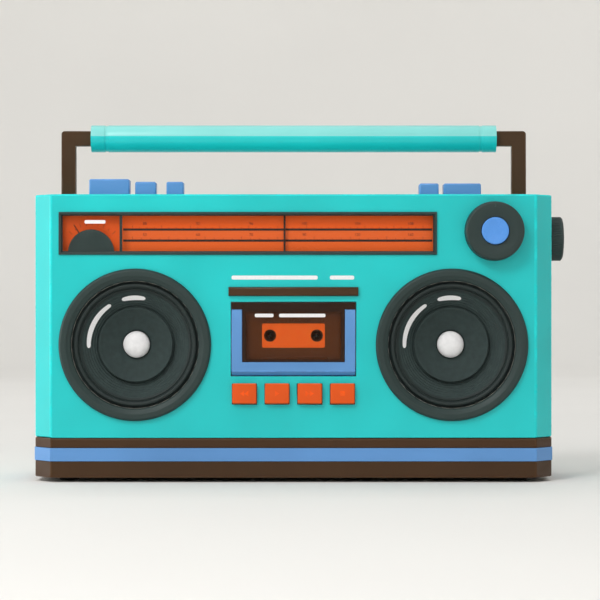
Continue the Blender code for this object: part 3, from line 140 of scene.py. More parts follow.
class Value:
    """A socket's value. Arithmetic on it adds Math nodes to its finish."""

    def __init__(self, finish, socket):
        self.finish = finish
        self.socket = socket

    def maths(self, operation, first, second=None):
        return self.finish.node("Math", {"operation": operation}, {0: first, 1: second})

    def __add__(self, other):
        return self.maths("ADD", self, other)

    def __sub__(self, other):
        return self.maths("SUBTRACT", self, other)

    def __rsub__(self, other):
        return self.maths("SUBTRACT", other, self)

    def __mul__(self, other):
        return self.maths("MULTIPLY", self, other)

    def __gt__(self, other):
        return self.maths("GREATER_THAN", self, other)

    def __lt__(self, other):
        return self.maths("LESS_THAN", self, other)

    def size(self):
        return self.maths("ABSOLUTE", self)

    def or_else(self, other):
        return self.maths("MAXIMUM", self, other)

    __radd__ = __add__
    __rmul__ = __mul__


class Finish:
    """A material whose pattern stays fixed to its piece."""

    def __init__(self, name, tone, roughness, metallic=0, **constants):
        self.material = bpy.data.materials.new(name)
        self.material.use_nodes = True
        self.tree = self.material.node_tree
        self.shader = self.tree.nodes["Principled BSDF"]
        self.place = self.node("TexCoord", output="Object")
        self.set("Base Color", tone)
        self.set("Roughness", roughness)
        self.set("Metallic", metallic)
        self.set("Specular IOR Level", 0.5 if metallic else 0.3)
        for socket, value in constants.items():
            self.set(socket.replace("_", " "), value)

    def set(self, socket, value):
        self.feed(self.shader.inputs[socket], value)

    def feed(self, socket, value):
        if isinstance(value, Value):
            self.tree.links.new(value.socket, socket)
        elif value is not None:
            socket.default_value = value

    def node(self, kind, settings=None, inputs=None, output=0):
        node = self.tree.nodes.new("ShaderNode" + kind)
        for name, value in (settings or {}).items():
            setattr(node, name, value)
        for key, value in (inputs or {}).items():
            self.feed(node.inputs[key], value)
        return Value(self, node.outputs[output])

    def stretched(self, factors, centre=(0, 0, 0)):
        """Places with each axis multiplied, counted from a centre."""
        shift = [-c * f for c, f in zip(centre, factors)]
        inputs = {"Vector": self.place, "Scale": factors, "Location": shift}
        return self.node("Mapping", {}, inputs)

    def noise(self, cell, detail=2, place=None):
        """Soft noise from 0 to 1, with blobs of about this size."""
        inputs = {"Vector": place or self.place, "Scale": 1 / cell, "Detail": detail}
        return self.node("TexNoise", {}, inputs)

    def cells(self, size, distance="EUCLIDEAN"):
        """Distance from the middles of scattered cells of about this size."""
        inputs = {"Vector": self.place, "Scale": 1 / size}
        return self.node("TexVoronoi", {"distance": distance}, inputs)

    def axis(self, letter):
        return self.node("SeparateXYZ", {}, {0: self.place}, output=letter)

    def mix(self, factor, first, second):
        inputs = {0: factor, 6: first, 7: second}
        return self.node("Mix", {"data_type": "RGBA"}, inputs, output=2)

    def spread(self, value, low, high, bottom=0, top=1):
        """The value's stretch from low to high, mapped to the stretch from bottom to top."""
        inputs = {0: value, 1: low, 2: high, 3: bottom, 4: top}
        return self.node("MapRange", {"clamp": True}, inputs)

    def bump(self, height, depth, strength=1.0):
        inputs = {"Height": height, "Distance": depth, "Strength": strength}
        self.set("Normal", self.node("Bump", {}, inputs))


def moulded(name, tone, roughness=0.34, grain=0.5 * MM, relief=0.03 * MM, drift=0.10, **constants):
    """Moulded plastic: slow drift of tone, fine grain, handling marks in the gloss."""
    finish = Finish(name, tone, roughness, **constants)
    slow = finish.noise(90 * MM, 2)
    cloud = finish.spread(slow, 0.3, 0.7)
    darker, lighter = shade(tone, 1 - drift), shade(tone, 1 + drift * 0.5)
    finish.set("Base Color", finish.mix(cloud, darker, lighter))
    rubbed = finish.spread(finish.noise(22 * MM, 4), 0.35, 0.75, -0.05, 0.07)
    scuffs = finish.noise(2.5 * MM, 3, finish.stretched((1, 1, 0.12)))
    gloss = finish.spread(scuffs, 0.62, 0.75, 0, 0.08)
    finish.set("Roughness", rubbed + gloss + roughness)
    skin = finish.noise(grain, 3) * 0.7 + finish.noise(grain * 9, 2) * 0.3
    finish.bump(skin, relief)
    return finish


def worn_and_highlighted_edge(name, tone, roughness):
    """The rounded edges of a moulding: their tone comes in paler than the face, a painted
    highlight along every edge, and patches are polished and paler still from handling.
    """
    finish = Finish(name, tone, roughness)
    patch = finish.spread(finish.noise(14 * MM, 4), 0.45, 0.62)
    finish.set("Base Color", finish.mix(patch, tone, shade(tone, 1.18)))
    finish.set("Roughness", roughness - patch * 0.08)
    return finish


TURQUOISE = colour("1cc6c6")
BROWN = colour("42290f")
BLUE = colour("5e92cc")
ORANGE = colour("e2540c")
CHARCOAL = colour("2a3937")
WHITE = colour("f0eff0")

FINISHES = {}


def finish_for(slot):
    return FINISHES[slot].material


def make_case_finishes():
    for name, tone, roughness, edge_roughness, edge_highlight_lift, relief, coat in (
        ("turquoise", TURQUOISE, 0.36, 0.30, 1.08, 0.03 * MM, 0.12),
        ("brown", BROWN, 0.42, 0.36, 1.15, 0.05 * MM, 0),
        ("blue", BLUE, 0.34, 0.28, 1.1, 0.02 * MM, 0.1),
        ("orange", ORANGE, 0.33, 0.28, 1.12, 0.02 * MM, 0),
        ("charcoal", CHARCOAL, 0.48, 0.38, 1.25, 0.05 * MM, 0),
    ):
        face = moulded(name + "_moulding", tone, roughness, relief=relief, Coat_Weight=coat)
        FINISHES[name + "_plastic"] = face
        # The rounded edges take the face's tone made paler by the lift: a painted highlight along
        # the edges.
        edge = name + "_edge"
        FINISHES[edge] = worn_and_highlighted_edge(edge, shade(tone, edge_highlight_lift), edge_roughness)
    FINISHES["grip_turquoise"] = make_grip_highlight_finish()
    FINISHES["cap_blue"] = moulded("cap_blue", colour("5898e6"), 0.3, relief=0.02 * MM)
    FINISHES["black_rubber"] = moulded("foot_rubber", colour("1c1c1d"), 0.8, relief=0.08 * MM)
    # The white ink draws painted highlights; the dark ink is print, and also painted shade in the
    # screws' recesses.
    for name, tone in (
        ("painted_highlight_ink", WHITE),
        ("dark_print_and_shade", colour("31211b")),
        ("scale_print", colour("8a3013")),
    ):
        FINISHES[name] = print_and_highlight_finish(name, tone)


def make_grip_highlight_finish():
    """The upper part of the grip is a paler turquoise: a painted highlight, where the light from
    above falls on the grip.
    """
    grip = moulded("grip_turquoise", TURQUOISE, 0.34, Coat_Weight=0.2)
    # The mask below picks the upper part of the grip, which is painted paler: a painted highlight.
    pale = grip.axis("Z") > middle("handle_grip").z + 1.8 * MM
    drift = grip.spread(grip.noise(90 * MM, 2), 0.3, 0.7)
    lower = grip.mix(drift, shade(TURQUOISE, 0.95), shade(TURQUOISE, 1.1))
    upper = grip.mix(drift, colour("7fd2cd"), colour("8cdcd7"))
    grip.set("Base Color", grip.mix(pale, lower, upper))
    return grip


def print_and_highlight_finish(name, tone):
    """Ink laid on by a pad, and the same for the painted highlights: even, with a slightly rough
    skin and a faint speckle.
    """
    finish = Finish(name, tone, 0.5)
    speckle = finish.spread(finish.noise(0.8 * MM, 4), 0.3, 0.55)
    finish.set("Base Color", finish.mix(speckle, shade(tone, 0.9), tone))
    finish.bump(finish.noise(0.4 * MM, 3), 0.02 * MM)
    return finish


def make_metal_finishes():
    chrome = Finish("chrome_tube", colour("d9dadd"), 0.12, 1)
    smears = chrome.spread(chrome.noise(12 * MM, 4), 0.45, 0.75, 0, 0.14)
    chrome.set("Roughness", smears + 0.09)
    FINISHES["chrome"] = chrome
    steel = Finish("plated_steel", colour("b4b3ad"), 0.34, 1)
    crystals = steel.cells(3 * MM)
    steel.set("Base Color", steel.mix(crystals, colour("a3a49f"), colour("c4c2b8")))
    brushed = steel.noise(0.6 * MM, 2, steel.stretched((0.05, 1, 1)))
    steel.set("Roughness", brushed * 0.2 + 0.25)
    steel.bump(brushed, 0.01 * MM)
    FINISHES["steel"] = steel


def make_speaker_finishes():
    """Pressed paper pulp: felted fibres and a soft variation from patch to patch."""
    for slot, tone, centre_rise in (
        ("speaker_paper", colour("323f3e"), 0.9),
        ("white_paper", WHITE, 1.0),
    ):
        paper = Finish("pressed_" + slot, tone, 0.82)
        fibres = paper.noise(0.7 * MM, 4)
        felt = paper.noise(5 * MM, 3)
        mottled = paper.mix(paper.spread(felt, 0.3, 0.7), shade(tone, 0.88 * centre_rise), tone)
        paper.set("Base Color", mottled)
        paper.bump(fibres * 0.7 + felt * 0.3, 0.06 * MM)
        FINISHES[slot] = paper
    roll = Finish("surround_rubber", colour("222c2b"), 0.55)
    pores = roll.noise(0.9 * MM, 3)
    roll.set("Roughness", pores * 0.2 + 0.45)
    roll.bump(pores, 0.05 * MM)
    FINISHES["surround"] = roll


def make_clear_finishes():
    clear = Finish("clear_sheet", colour("1c2020"), 0.05)
    clear.set("Alpha", 0.03)
    hairlines = clear.noise(1.5 * MM, 3, clear.stretched((0.03, 1, 1)))
    clear.set("Roughness", clear.spread(hairlines, 0.6, 0.8, 0.04, 0.16))
    FINISHES["clear_plastic"] = clear

    low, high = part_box("door_window")
    tone = colour("3c1a04")
    smoked = Finish("smoked_window", tone, 0.12)
    x = (smoked.axis("X") - (low.x + high.x) / 2).size()
    z = smoked.axis("Z")
    clear_half = 43 * MM
    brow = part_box("cassette_door")[1].z - 8.2 * MM
    sill = low.z + 2.2 * MM
    printed = (x > clear_half).or_else(z > brow).or_else(z < sill)
    smoked.set("Alpha", smoked.spread(printed, 0, 1, 0.1, 1.0))
    smoked.set("Base Color", smoked.mix(printed, tone, colour("2a1508")))
    hairlines = smoked.noise(1.2 * MM, 3, smoked.stretched((0.05, 1, 1)))
    smoked.set("Roughness", smoked.spread(hairlines, 0.55, 0.8, 0.10, 0.24))
    FINISHES["smoked_window"] = smoked

    shell = moulded("cassette_moulding", colour("5e2f08"), 0.35, relief=0.02 * MM)
    FINISHES["smoked_plastic"] = shell
    label = Finish("label_paper", colour("e8602e"), 0.6)
    fleck = label.spread(label.noise(3 * MM, 4), 0.3, 0.7)
    label.set("Base Color", label.mix(fleck, colour("ff5f0c"), colour("ff7020")))
    label.bump(label.noise(0.5 * MM, 3), 0.03 * MM)
    FINISHES["label_paper"] = label


def make_dial_finish():
    """The scale plate: three printed bands, the upper one brightest, over a brushed ground."""
    low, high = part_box("dial_window")
    dial = Finish("dial_plate", ORANGE, 0.45)
    x, z = dial.axis("X"), dial.axis("Z")
    height = high.z - low.z
    lower = z < low.z + height * 0.60
    lowest = z < low.z + height * 0.30
    meter = x < METER_EDGE
    bands = dial.mix(lower, colour("fb5f0a"), colour("ec6424"))
    bands = dial.mix(lowest, bands, colour("f06218"))
    ground = dial.mix(meter, bands, colour("f85c0c"))
    brushed = dial.noise(0.5 * MM, 3, dial.stretched((0.02, 1, 1)))
    strength = dial.spread(brushed, 0.3, 0.8, 0, 0.16)
    dial.set("Base Color", dial.mix(strength, ground, colour("ff8030")))
    dial.set("Roughness", brushed * 0.15 + 0.38)
    dial.bump(brushed, 0.01 * MM)
    FINISHES["dial_plate"] = dial


def make_board_finish():
    """Lacquered laminate with tinned tracks and pads."""
    board = Finish("circuit_laminate", colour("1f6b3a"), 0.35)
    tracks = board.spread(board.cells(7 * MM, "MANHATTAN"), 0.42, 0.46)
    board.set("Base Color", board.mix(tracks, colour("1b5c33"), colour("3c8a4e")))
    pads = board.cells(4 * MM)
    solder = pads < 0.16
    board.set("Metallic", solder * 0.9)
    board.bump(tracks * 0.4 + solder, 0.08 * MM)
    FINISHES["green_board"] = board


def dress_frame():
    """Every solid of the frame that stays in view takes its slot's finish."""
    for name, node in frame["nodes"].items():
        for place in node.material_slots:
            place.material = finish_for(name if name == "dial_plate" else SLOTS[name])


# --- Shapes ------------------------------------------------------------------------------------

PLANES = {"X": (1, 2, 0), "Y": (0, 2, 1), "Z": (0, 1, 2)}


def point(axis, u, v, along):
    place = [0, 0, 0]
    for slot, value in zip(PLANES[axis], (u, v, along)):
        place[slot] = value
    return Vector(place)


def rounded(outline, radius, closed=False, steps=4):
    """The outline with its corners turned into soft arcs of about this radius."""
    points = [Vector(p) for p in outline]
    result = []
    count = len(points)
    for index, corner in enumerate(points):
        at_end = index in (0, count - 1)
        if at_end and not closed:
            result.append(corner)
            continue
        before = points[index - 1] - corner
        after = points[(index + 1) % count] - corner
        reach = min(radius, before.length * 0.45, after.length * 0.45)
        start = corner + before.normalized() * reach
        end = corner + after.normalized() * reach
        for step in range(steps + 1):
            t = step / steps
            result.append(start * (1 - t) ** 2 + corner * 2 * t * (1 - t) + end * t**2)
    return [tuple(p) for p in result]


def tidied(shape):
    bmesh.ops.remove_doubles(shape, verts=shape.verts, dist=1e-6)
    bmesh.ops.recalc_face_normals(shape, faces=shape.faces)
    return shape


def turned(profile, axis, centre, steps=SMOOTH, closed=False):
    """A profile of (radius, place along the axis), spun about a line through centre."""
    shape = bmesh.new()
    u, v = centre
    corners = [shape.verts.new(point(axis, u + radius, v, along)) for radius, along in profile]
    links = list(zip(corners, corners[1:]))
    if closed:
        links.append((corners[-1], corners[0]))
    edges = [shape.edges.new(pair) for pair in links]
    bmesh.ops.spin(
        shape,
        geom=corners + edges,
        cent=point(axis, u, v, 0),
        axis=point(axis, 0, 0, 1),
        angle=math.tau,
        steps=steps,
        use_merge=True,
    )
    return tidied(shape)


def with_round_edges(shape, edges, width, segments):
    if width:
        bmesh.ops.bevel(
            shape,
            geom=edges,
            offset=width,
            segments=segments,
            profile=0.5,
            affect="EDGES",
            material=-1,
            clamp_overlap=True,
        )
    return shape


def slab(outline, axis, span, edge=0.0, segments=3):
    """A flat outline with thickness. Its outer edges are rounded by edge."""
    shape = bmesh.new()
    corners = [shape.verts.new(point(axis, u, v, span[0])) for u, v in outline]
    face = shape.faces.new(corners)
    grown = bmesh.ops.extrude_face_region(shape, geom=[face])["geom"]
    moved = [item for item in grown if isinstance(item, bmesh.types.BMVert)]
    bmesh.ops.translate(shape, vec=point(axis, 0, 0, span[1] - span[0]), verts=moved)
    tidied(shape)
    slot = PLANES[axis][2]
    rims = [e for e in shape.edges if abs(e.verts[0].co[slot] - e.verts[1].co[slot]) < 1e-7]
    return with_round_edges(shape, rims, edge, segments)


def block(low, high, edge=0.0, segments=3):
    """A box with rounded edges."""
    shape = bmesh.new()
    bmesh.ops.create_cube(shape, size=1)
    low, high = Vector(low), Vector(high)
    bmesh.ops.scale(shape, vec=high - low, verts=shape.verts)
    bmesh.ops.translate(shape, vec=(low + high) / 2, verts=shape.verts)
    return with_round_edges(shape, shape.edges[:], edge, segments)


def gathered(*shapes):
    """Several closed shapes as one."""
    whole = bmesh.new()
    for shape in shapes:
        mesh = bpy.data.meshes.new("gathered")
        shape.to_mesh(mesh)
        whole.from_mesh(mesh)
        bpy.data.meshes.remove(mesh)
        shape.free()
    return whole


def rectangle(middle_u, middle_v, half_u, half_v):
    return [
        (middle_u - half_u, middle_v - half_v),
        (middle_u + half_u, middle_v - half_v),
        (middle_u + half_u, middle_v + half_v),
        (middle_u - half_u, middle_v + half_v),
    ]


# --- Pieces ------------------------------------------------------------------------------------


def piece(name, shape, slot, body, replaces=(), finish=None, sharp=32):
    """An object from a shape, with its finish, on its body, in place of the nodes it replaces."""
    mesh = bpy.data.meshes.new(name)
    shape.to_mesh(mesh)
    shape.free()
    mesh.shade_smooth()
    mesh.set_sharp_from_angle(angle=math.radians(sharp))
    mesh.materials.append(finish_for(finish or slot))
    obj = placed(name, mesh)
    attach(obj, body)
    if replaces:
        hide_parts(*replaces)
    return obj


def softened(node, outer, inner, finish=None, edge_finish=None, shortest=4 * MM):
    """A copy of a solid with rounded edges: outer on its silhouette, inner on its other edges."""
    shape = bmesh.new()
    shape.from_mesh(frame["nodes"][node].data)
    bmesh.ops.remove_doubles(shape, verts=shape.verts, dist=2e-6)
    bmesh.ops.dissolve_limit(
        shape, angle_limit=math.radians(0.5), verts=shape.verts, edges=shape.edges
    )
    points = [v.co.copy() for v in shape.verts]

    def on_hull(face):
        start = face.verts[0].co
        return max((p - start).dot(face.normal) for p in points) < 0.05 * MM

    hull = {face: on_hull(face) for face in shape.faces}
    weights = shape.edges.layers.float.new("bevel_weight_edge")
    for edge in shape.edges:
        if len(edge.link_faces) != 2 or edge.calc_length() < shortest:
            continue
        if edge.calc_face_angle(0) < math.radians(25):
            continue
        both = all(hull[face] for face in edge.link_faces)
        edge[weights] = 1.0 if both else inner / outer
    obj = piece(node + "_moulding", shape, SLOTS[node], body_of(node), (node,), finish)
    bevel = obj.modifiers.new("Edges", "BEVEL")
    bevel.limit_method = "WEIGHT"
    bevel.width = outer
    bevel.segments = 4
    bevel.use_clamp_overlap = False
    bevel.harden_normals = True
    if edge_finish:
        obj.data.materials.append(finish_for(edge_finish))
        bevel.material = 1
    return obj


# --- Case --------------------------------------------------------------------------------------


def make_case():
    softened("front_shell", 1.6 * MM, 0.5 * MM, edge_finish="turquoise_edge")
    rear = softened("rear_shell", 1.6 * MM, 0.5 * MM, edge_finish="turquoise_edge")
    softened("base_moulding", 1.4 * MM, 0.4 * MM, edge_finish="brown_edge")
    softened("trim_strip", 0.4 * MM, 0.2 * MM)
    vent_slots(rear)
    for end in ("front", "rear"):
        for side in SIDES:
            make_foot(f"foot_{end}_{side}")
    make_case_screws()
    make_panel_painted_highlights()


def vent_slots(rear):
    """Two groups of blind cooling slots in the back, over the amplifier and the transformer."""
    lid_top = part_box("battery_door")[1].z
    pitch, half_width, reach = 6 * MM, 1.4 * MM, 17 * MM
    first, above_lid, depth = 60 * MM, 22 * MM, 1.6 * MM
    rows = []
    for side in (-1, 1):
        for index in range(11):
            x = CASE_MIDDLE + side * (first + index * pitch)
            ends = rectangle(x, lid_top + above_lid + reach, half_width, reach)
            outline = rounded(ends, half_width, closed=True)
            rows.append(slab(outline, "Y", (BACK - depth, BACK + 2 * MM)))
    cut_out(rear, rows)


def cut_out(obj, shapes):
    """Cuts closed shapes out of the object's mesh, before its edges are rounded."""
    mesh = bpy.data.meshes.new("cutter")
    cutter = gathered(*shapes)
    cutter.to_mesh(mesh)
    cutter.free()
    helper = placed("cutter", mesh)
    rounding = list(obj.modifiers)
    cut = obj.modifiers.new("Cut", "BOOLEAN")
    cut.object = helper
    obj.modifiers.move(len(obj.modifiers) - 1, 0)
    for modifier in rounding:
        modifier.show_viewport = False
    bpy.context.view_layer.update()
    graph = bpy.context.evaluated_depsgraph_get()
    result = bpy.data.meshes.new_from_object(obj.evaluated_get(graph))
    for modifier in rounding:
        modifier.show_viewport = True
    obj.modifiers.remove(cut)
    obj.data = result
    bpy.data.objects.remove(helper)


def make_foot(node):
    low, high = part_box(node)
    centre = middle(node)
    radius = half_size(node).x
    rim, stem = low.z + 4 * MM - SEAM, 2.4 * MM
    outline = [
        (0, low.z + 0.5 * MM),
        (radius * 0.55, low.z + 0.5 * MM),
        (radius * 0.62, low.z),
        (radius - 0.9 * MM, low.z),
        (radius, low.z + 1.2 * MM),
        (radius, rim),
        (stem, rim),
        (stem, high.z),
        (0, high.z),
    ]
    shape = turned(rounded(outline, 0.5 * MM), "Z", (centre.x, centre.y))
    piece(node + "_pad", shape, "black_rubber", body_of(node), (node,))


def screw(centre, axis, outward, radius):
    """A pan head and the two arms of its cross recess, as thin slabs on the head rather than
    hollows. outward is the head's rise and side.
    """
    slot = PLANES[axis][2]
    u, v = (centre[i] for i in PLANES[axis][:2])
    level = centre[slot]
    rise = outward * 1.3 * MM
    outline = [
        (0, level + rise - outward * 0.8 * MM),
        (0.9 * MM, level + rise - outward * 0.8 * MM),
        (1.0 * MM, level + rise),
        (radius * 0.6, level + rise * 0.95),
        (radius * 0.92, level + rise * 0.55),
        (radius, level),
        (0, level),
    ]
    long, narrow = radius * 0.62, 0.45 * MM
    ends = sorted((level + rise * 1.04, level + rise * 0.9))
    arms = [
        slab(rectangle(u, v, *sizes), axis, ends, 0.08 * MM, 1)
        for sizes in ((narrow, long), (long, narrow))
    ]
    return turned(outline, axis, (u, v), 32), arms


def make_screws(name, places, radius):
    heads, painted_recess_shade = [], []
    for centre, axis, outward in places:
        head, arms = screw(centre, axis, outward, radius)
        heads.append(head)
        painted_recess_shade += arms
    piece(f"{name}_heads", gathered(*heads), "steel", "case")
    # The recess arms are dark: painted shade where the hollow of the recess would lie in shadow.
    piece(f"{name}_recesses", gathered(*painted_recess_shade), "steel", "case", finish="dark_print_and_shade")


def make_case_screws():
    """Five screws hold the back on, and three the base."""
    low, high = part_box("rear_shell")
    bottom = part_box("base_moulding")[0].z
    inset, above_lid = 14 * MM, 64 * MM
    places = []
    for x in (low.x + inset, CASE_MIDDLE, high.x - inset):
        places.append(((x, BACK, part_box("battery_door")[1].z + above_lid), "Y", 1))
        if x != CASE_MIDDLE:
            places.append(((x, BACK, low.z + inset), "Y", 1))
    for x in (low.x + 2 * inset, CASE_MIDDLE, high.x - 2 * inset):
        places.append(((x, (FRONT + BACK) / 2, bottom), "Z", -1))
    make_screws("case_screw", places, 3.2 * MM)


def stroke(left, right, height, thickness, surface, raised=0.12 * MM):
    """A stroke of painted highlight with round ends, on a surface that faces the front."""
    outline = rectangle((left + right) / 2, height, (right - left) / 2, thickness / 2)
    soft = rounded(outline, thickness / 2, closed=True, steps=6)
    return slab(soft, "Y", (surface - raised, surface - 0.01 * MM), 0.04 * MM, 1)


def make_painted_highlights(name, body, strokes):
    """Strokes of painted highlight, each given as left, right, height, thickness and the surface
    it is on.
    """
    shapes = [stroke(*sizes) for sizes in strokes]
    piece(name, gathered(*shapes), "white_paper", body, finish="painted_highlight_ink")


def make_panel_painted_highlights():
    # Two white strokes above the deck: painted highlights on the front.
    height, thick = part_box("deck_hood")[1].z + 8.6 * MM, 3.6 * MM
    spans = ((-56 * MM, 22 * MM), (33 * MM, 55 * MM))
    strokes = [(CASE_MIDDLE + a, CASE_MIDDLE + b, height, thick, FRONT) for a, b in spans]
    make_painted_highlights("panel_painted_highlights", "case", strokes)


# --- Handle and aerial -------------------------------------------------------------------------


def make_handle():
    low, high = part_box("handle_grip")
    centre = middle("handle_grip")
    radius = half_size("handle_grip").z
    bore, cap, groove, depth = 5.3 * MM, 16 * MM, 3.0 * MM, 0.5 * MM
    start = high.x - cap
    right = [
        (radius, start),
        (radius - depth, start),
        (radius - depth, start + groove),
        (radius, start + groove),
        (radius, high.x),
        (bore, high.x),
    ]
    outline = [(r, low.x + high.x - x) for r, x in reversed(right)] + right
    outline = [(bore, low.x)] + rounded(outline[1:-1], 0.7 * MM) + [(bore, high.x)]
    shape = turned(outline, "X", (centre.y, centre.z), SMOOTH, closed=True)
    grip = ("handle_grip",)
    piece("handle_grip_tube", shape, "turquoise_plastic", "handle", grip, "grip_turquoise")
    for side in SIDES:
        softened(f"handle_arm_{side}", 1.3 * MM, 0.9 * MM, edge_finish="brown_edge")


AERIAL = middle("aerial_tube_1")
PIVOT_RADIUS = 5.5 * MM


def make_aerial_tubes():
    bead, waist, slope = 2.5 * MM, 0.25 * MM, 0.4 * MM
    for number, outer, bore in ((1, 3.5 * MM, 3.0 * MM), (2, 2.7 * MM, 2.0 * MM)):
        node = f"aerial_tube_{number}"
        low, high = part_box(node)
        outline = [
            (bore, low.x),
            (outer, low.x),
            (outer, low.x + bead),
            (outer - waist, low.x + bead + slope),
            (outer - waist, high.x - bead),
            (outer, high.x - bead + slope),
            (outer, high.x),
            (bore, high.x),
        ]
        outline = rounded(outline, 0.2 * MM, closed=True)
        shape = turned(outline, "X", (AERIAL.y, AERIAL.z), 48, closed=True)
        piece(node + "_chrome", shape, "chrome", body_of(node), (node,))
    low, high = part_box("aerial_tube_3")
    slim, tip = 1.7 * MM, half_size("aerial_tube_3").z
    outline = [
        (0, low.x),
        (tip * 0.7, low.x),
        (tip, low.x + 1.4 * MM),
        (tip, low.x + 4.6 * MM),
        (tip * 0.7, low.x + 6 * MM),
        (slim, low.x + 6 * MM),
        (slim, high.x),
        (0, high.x),
    ]
    shape = turned(rounded(outline, 0.7 * MM), "X", (AERIAL.y, AERIAL.z), 48)
    piece("aerial_tube_3_chrome", shape, "chrome", body_of("aerial_tube_3"), ("aerial_tube_3",))


def make_aerial_pivot():
    """A disc with a screw through it, and the neck that the first tube is fixed to."""
    low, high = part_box("aerial_knuckle")
    radius, face, screw_radius = PIVOT_RADIUS, high.y, 2.0 * MM
    back = face - 7.4 * MM
    outline = [
        (0, face - 0.9 * MM),
        (screw_radius - 0.1 * MM, face - 0.9 * MM),
        (screw_radius, face - 0.1 * MM),
        (3.4 * MM, face),
        (radius, face - 0.4 * MM),
        (radius, back + 0.4 * MM),
        (radius - 0.5 * MM, back),
        (screw_radius, back),
        (screw_radius, low.y),
        (0, low.y),
    ]
    hub = turned(rounded(outline, 0.4 * MM), "Y", (high.x - radius, AERIAL.z), 64)
    neck, collar = 2.7 * MM, 3.3 * MM
    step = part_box("aerial_tube_1")[1].x + 0.1 * MM
    end = step + 1.5 * MM
    outline = [(0, low.x), (neck, low.x), (neck, step), (collar, step), (collar, end), (0, end)]
    stem = turned(outline, "X", (AERIAL.y, AERIAL.z), 48)
    piece("aerial_pivot", gathered(hub, stem), "chrome", "aerial_base", ("aerial_knuckle",))


def make_aerial_clip():
    """A channel on the ledge of the case, which the folded aerial snaps into."""
    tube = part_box("aerial_tube_1")[0]
    x = tube.x + 24 * MM
    bottom = AERIAL.z - PIVOT_RADIUS - 0.45 * MM
    trough, top = tube.z - 0.3 * MM, AERIAL.z + 1.8 * MM
    cheek = 3.7 * MM
    front, back = AERIAL.y - cheek, AERIAL.y + cheek
    outline = [
        (front - 1.3 * MM, bottom),
        (back + 1.0 * MM, bottom),
        (back + 1.0 * MM, top),
        (back, top),
        (back, trough),
        (front, trough),
        (front, top),
        (front - 1.3 * MM, top),
    ]
    clip = slab(outline, "X", (x, x + 9 * MM), 0.25 * MM)
    piece("aerial_clip", clip, "turquoise_plastic", "case")


# --- Radio -------------------------------------------------------------------------------------


def make_dial():
    softened("dial_bezel", 0.7 * MM, 0.3 * MM, edge_finish="charcoal_edge", shortest=5 * MM)
    softened("dial_window", 0.3 * MM, 0.2 * MM)
    softened("dial_pointer", 0.2 * MM, 0.15 * MM, finish="dark_print_and_shade")
    low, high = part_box("dial_window")
    margin = 1.2 * MM
    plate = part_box("dial_plate")[0].y
    printed = plate - 0.12 * MM
    left, right = METER_EDGE + margin, high.x - margin
    bottom, top = low.z + margin, high.z - margin
    length, height = right - left, top - bottom
    line, tick, tick_foot = 1.0 * MM, 0.15 * MM, 0.8 * MM
    lines, ticks = [], []
    for share, gaps in zip(DIAL_ROWS, (40, 32)):
        level = bottom + height * share
        lines.append(block((left, printed, level - line), (right, plate, level + line)))
        level += tick_foot
        for index in range(gaps + 1):
            x = left + length * (0.03 + 0.94 * index / gaps)
            end = level + (3.0 if index % 4 == 0 else 1.6) * MM
            ticks.append(block((x - tick, printed, level), (x + tick, plate, end)))
    piece("dial_lines", gathered(*lines), "brown_plastic", "case", finish="dark_print_and_shade")
    ticks += meter_ticks((printed, plate), top)
    piece("dial_ticks", gathered(*ticks), "orange_plastic", "case", finish="scale_print")
    make_dial_numbers(left, length, bottom, height, printed)
    # A white stroke on the window over the meter: a painted highlight.
    meter_highlight_stroke = (METER_CENTRE - 6 * MM, METER_CENTRE + 13 * MM, high.z - 6.5 * MM, 3.2 * MM, low.y)
    make_painted_highlights("meter_painted_highlight", "case", [meter_highlight_stroke])
    softened("meter_needle", 0.15 * MM, 0.1 * MM, finish="dark_print_and_shade", shortest=2 * MM)


def meter_ticks(span, top):
    """A fan of ticks over the meter's half-round hub, every second one longer."""
    hub = Vector((METER_CENTRE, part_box("dial_window")[0].z))
    inner, half_width, reach = 24.5 * MM, 0.2 * MM, 25 * MM
    ticks = []
    for index in range(9):
        angle = math.radians(90 + 48 - 12 * index)
        along = Vector((math.cos(angle), math.sin(angle)))
        across = Vector((-along.y, along.x)) * half_width
        start = hub + along * inner
        end = hub + along * (28.5 if index % 2 == 0 else 26.5) * MM
        if end.y > top or abs(end.x - METER_CENTRE) > reach:
            continue
        outline = [tuple(p) for p in (start - across, end - across, end + across, start + across)]
        ticks.append(slab(outline, "Y", span))
    return ticks


def make_dial_numbers(left, length, bottom, height, surface):
    """Plain frequency numbers, printed small between the tick marks."""
    whole = bmesh.new()
    rows = ("88 92 96 100 104 108".split(), "53 60 70 90 120 160".split())
    size, above_line = 3.6 * MM, 4.2 * MM
    for words, share in zip(rows, DIAL_ROWS):
        level = bottom + height * share + above_line
        for index, word in enumerate(words):
            x = left + length * (0.07 + 0.86 * index / (len(words) - 1))
            curve = bpy.data.curves.new("number", "FONT")
            curve.body = word
            curve.size = size
            curve.align_x = "CENTER"
            curve.extrude = 0.05 * MM
            curve.resolution_u = 3
            text = placed("number", curve)
            bpy.context.view_layer.update()
            graph = bpy.context.evaluated_depsgraph_get()
            mesh = bpy.data.meshes.new_from_object(text.evaluated_get(graph))
            upright = Matrix.Rotation(math.pi / 2, 4, "X")
            mesh.transform(Matrix.Translation((x, surface, level)) @ upright)
            whole.from_mesh(mesh)
            bpy.data.objects.remove(text)
            bpy.data.meshes.remove(mesh)
    bmesh.ops.remove_doubles(whole, verts=whole.verts, dist=1e-7)
    piece("dial_numbers", whole, "orange_plastic", "case", finish="scale_print")


